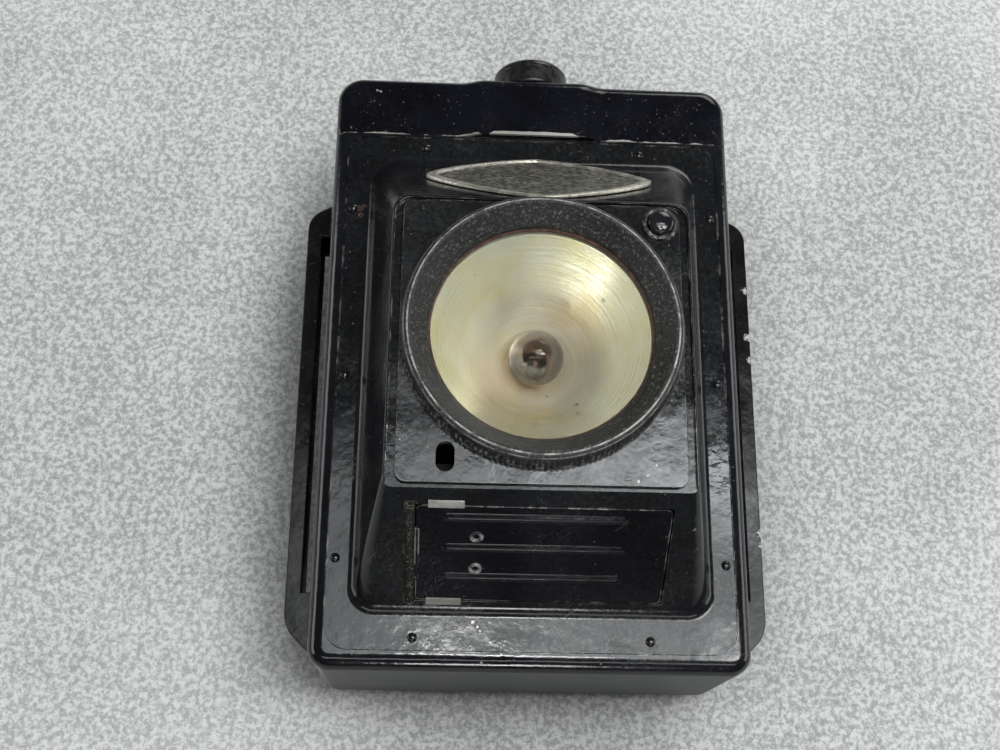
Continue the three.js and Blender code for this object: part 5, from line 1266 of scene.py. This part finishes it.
def cell(name, node_name, side):
    """A can with a pitch-sealed top and two threaded posts; side is -1 for the left one."""
    near, far = sorted((side * CELL_NEAR, side * CELL_FAR))
    bm = bmesh.new()
    corners = [bm.verts.new((x, y, CELL_FOOT)) for x, y in
               ((near, CELL_FRONT), (far, CELL_FRONT), (far, CELL_BACK), (near, CELL_BACK))]
    bm.faces.new(corners)
    round_corners(bm, corners, 3, 6)
    pull(bm, (0, 0, CELL_HEIGHT))
    top = [f for f in bm.faces if f.calc_center_median().z > 118]
    bmesh.ops.inset_region(bm, faces=top, thickness=1.4, depth=0.0, use_even_offset=True)
    top = [f for f in bm.faces if f.calc_center_median().z > 118 and f.calc_area() > WIDE_FACE]
    bmesh.ops.inset_region(bm, faces=top, thickness=0.2, depth=-1.8, use_even_offset=True)
    for face in bm.faces:
        if face.calc_center_median().z > 115 and face.calc_area() > WIDE_FACE and abs(face.normal.z) > 0.9:
            face.material_index = 1
    soften(bm, 0.25, 2, FOLD_ANGLE)
    posts = []
    for x in (18, 45):
        thread = [(POST_RADIUS - POST_THREAD * (row % 2), 119.8 + POST_PITCH * row) for row in range(13)]
        post = turned([(0, 116.0), (POST_RADIUS, 116.0)] + thread + [(2.5, 128.2), (0, 128.2)], 24,
                      along_z(side * x, POST_Y))
        for face in post.faces:
            face.material_index = 2
        posts.append(post)
    finished(name, gathered(bm, *posts), [cell_case, pitch, brass], stands_for=(node_name,))


cell("cell_can_left", "cell_left", -1)
cell("cell_can_right", "cell_right", 1)

# %% Link, board, pad and leads
refined("cell_link", "link_strap", brass, width=0.25)
refined("partition_board", "board", fibre, width=0.3)
refined("battery_pad", "pad", gasket_cork, width=0.4)
for node_name in ("lead_positive", "lead_negative", "lead_switch"):
    refined(node_name, node_name.replace("lead", "wire"), lead_cloth, width=0)

# %% [markdown]
# ## Light, backdrop and camera
# The photograph looks slightly upwards at the lantern's front, so its pale ground lies behind the lantern. A
# pale wall stands there and keeps the shadow the lamps cast, deepened by a painted shadow beside and below
# the lantern, and a pale floor serves every view from above with the same painted shadow.
# Each of them can only be seen from its own side. Black enamel shows little but reflections, so a broad
# soft light stands low in front, and the rest of the room stays dim.

# %% Ground and wall
DARK_WEAVE, PALE_WEAVE = (0.34, 0.35, 0.345, 1), (0.72, 0.73, 0.71, 1)
# CONTACT_SHADE is the colour of the painted shadow, and LIT_SIDE is the side that painted shadow takes its
# light from.
CONTACT_SHADE, LIT_SIDE = (0.03, 0.032, 0.034, 1), (0.55, -0.5, 0.67)


def ground(name, corners, inward, even=False):
    """A cloth-covered plane that is only seen from one side, with a painted shadow beside the lantern; an
    even one has no pools of light.
    """
    mesh = bpy.data.meshes.new(name)
    bm = bmesh.new()
    face = bm.faces.new([bm.verts.new(place) for place in corners])
    face.normal_update()
    if face.normal.dot(Vector(inward)) < 0:
        face.normal_flip()
    bm.to_mesh(mesh)
    bm.free()
    made = bpy.data.objects.new(name, mesh)
    bpy.context.scene.collection.objects.link(made)
    material, tree, shader, where = fresh(name)
    woven = maths(tree, "ADD", ramp(tree, grain(tree, where, 520.0, 5.0, 0.8), 0.40, 0.60, 0.0, 0.85),
                  ramp(tree, grain(tree, where, 9.0, 2.0), 0.35, 0.65, -0.05, 0.2))
    tone = blend(tree, woven, DARK_WEAVE, PALE_WEAVE)
    # Painted shadow: the tone darkens towards CONTACT_SHADE where the lantern closes off the directions
    # around LIT_SIDE.
    painted_shadow_ao = node(tree, "AmbientOcclusion", {"Distance": 0.055, "Normal": Vector(LIT_SIDE)}, samples=8)
    tone = blend(tree, ramp(tree, painted_shadow_ao.outputs["AO"], 0.30, 0.92, 0.74, 0.0), tone, CONTACT_SHADE)
    link(tree, shader, Base_Color=tone, Roughness=0.95, Specular_IOR_Level=0.1)
    shown = shader
    if even:
        # Seen directly, the floor glows with its own tone, so the only shadow it shows is the painted one.
        seen_directly = node(tree, "LightPath").outputs["Is Camera Ray"]
        own_tone = node(tree, "Emission", {"Color": tone, "Strength": 1.0})
        shown = node(tree, "MixShader", {0: seen_directly, 1: shader.outputs[0], 2: own_tone.outputs[0]})
    behind = node(tree, "NewGeometry").outputs["Backfacing"]
    unseen = node(tree, "BsdfTransparent")
    either = node(tree, "MixShader", {0: behind, 1: shown.outputs[0], 2: unseen.outputs[0]})
    tree.links.new(either.outputs[0], tree.nodes["Material Output"].inputs["Surface"])
    mesh.materials.append(material)
    made.visible_shadow = False
    return made


floor = ground("floor", ((-2, -2, 0), (2, -2, 0), (2, 2, 0), (-2, 2, 0)), (0, 0, 1), even=True)
WALL_Y = 0.040
wall = ground("wall", ((-0.6, WALL_Y, -0.5), (0.6, WALL_Y, -0.5), (0.6, WALL_Y, 0.9), (-0.6, WALL_Y, 0.9)),
              (0, -1, 0))
wall.visible_diffuse = False
floor.visible_glossy = False
print("stage:", floor.name, "and", wall.name)

# %% Lamps
WINDOW_LIGHT = (0.93, 0.98, 1.0)
LANTERN_MIDDLE = (0, -0.03, 0.09)


def lamp(name, place, size, power, colour=(1, 1, 1), target=LANTERN_MIDDLE):
    """A rectangular lamp of the given width and height in metres that points at its target."""
    data = bpy.data.lights.new(name, "AREA")
    data.shape, data.size, data.size_y = "RECTANGLE", size[0], size[1]
    data.energy, data.color = power, colour
    made = bpy.data.objects.new(name, data)
    made.location = place
    made.rotation_euler = (Vector(target) - Vector(place)).to_track_quat("-Z", "Y").to_euler()
    bpy.context.scene.collection.objects.link(made)


lamp("key", (0.48, -1.22, 0.0), (0.36, 0.36), 5.0)
lamp("bowl_top", (0.0, -1.22, 0.07), (0.10, 0.10), 1.4)
lamp("bowl_low", (0.03, -0.36, -0.80), (0.16, 0.16), 1.3)
lamp("rear", (-0.30, 1.40, 0.42), (1.3, 0.8), 14.0, target=(0, 0.02, 0.09))
lamp("overhead", (0.55, -0.60, 1.35), (0.7, 0.7), 6.0)
lamp("sheen", (0.14, -1.60, 0.25), (0.85, 0.49), 4.6, WINDOW_LIGHT)
lamp("sheen_edge", (0.34, -1.57, 0.445), (0.42, 0.09), 1.2, WINDOW_LIGHT)
lamp("left_strip", (-0.95, -0.22, 0.14), (0.35, 0.9), 2.6)
lamp("right_strip", (0.95, -0.22, 0.14), (0.35, 0.9), 2.6)
lamp("low_strip", (0.0, -0.72, -0.45), (0.9, 0.10), 1.0)
lamp("spark", (0.05, -0.52, 0.0), (0.06, 0.06), 0.32)

print("lamps:", len(bpy.data.lights), "with", round(sum(lit.energy for lit in bpy.data.lights), 1), "watts")

# %% Room
world = bpy.data.worlds.new("room")
bpy.context.scene.world = world
world.use_nodes = True
tree = world.node_tree
tree.nodes.clear()
seen = node(tree, "LightPath")
dim = node(tree, "Background", {"Color": (0.95, 0.97, 1.0, 1), "Strength": 0.09})
pale = node(tree, "Background", {"Color": (0.60, 0.60, 0.59, 1), "Strength": 1.0})
either = node(tree, "MixShader", {0: seen.outputs["Is Camera Ray"], 1: dim.outputs[0], 2: pale.outputs[0]})
node(tree, "OutputWorld", {"Surface": either.outputs[0]})
print("room:", len(tree.nodes), "nodes")

# %% Camera
camera = bpy.data.objects.new("camera", bpy.data.cameras.new("camera"))
bpy.context.scene.collection.objects.link(camera)
camera.data.sensor_width, camera.data.lens = 36.0, 47.59
camera.location = (-0.02898, -0.41140, -0.04575)
camera.rotation_euler = [math.radians(angle) for angle in (109.43306, -0.57095, -3.04497)]
bpy.context.scene.camera = camera
bpy.context.scene.view_settings.view_transform = "Standard"
print("camera:", round(camera.location.length, 3), "m from the origin")
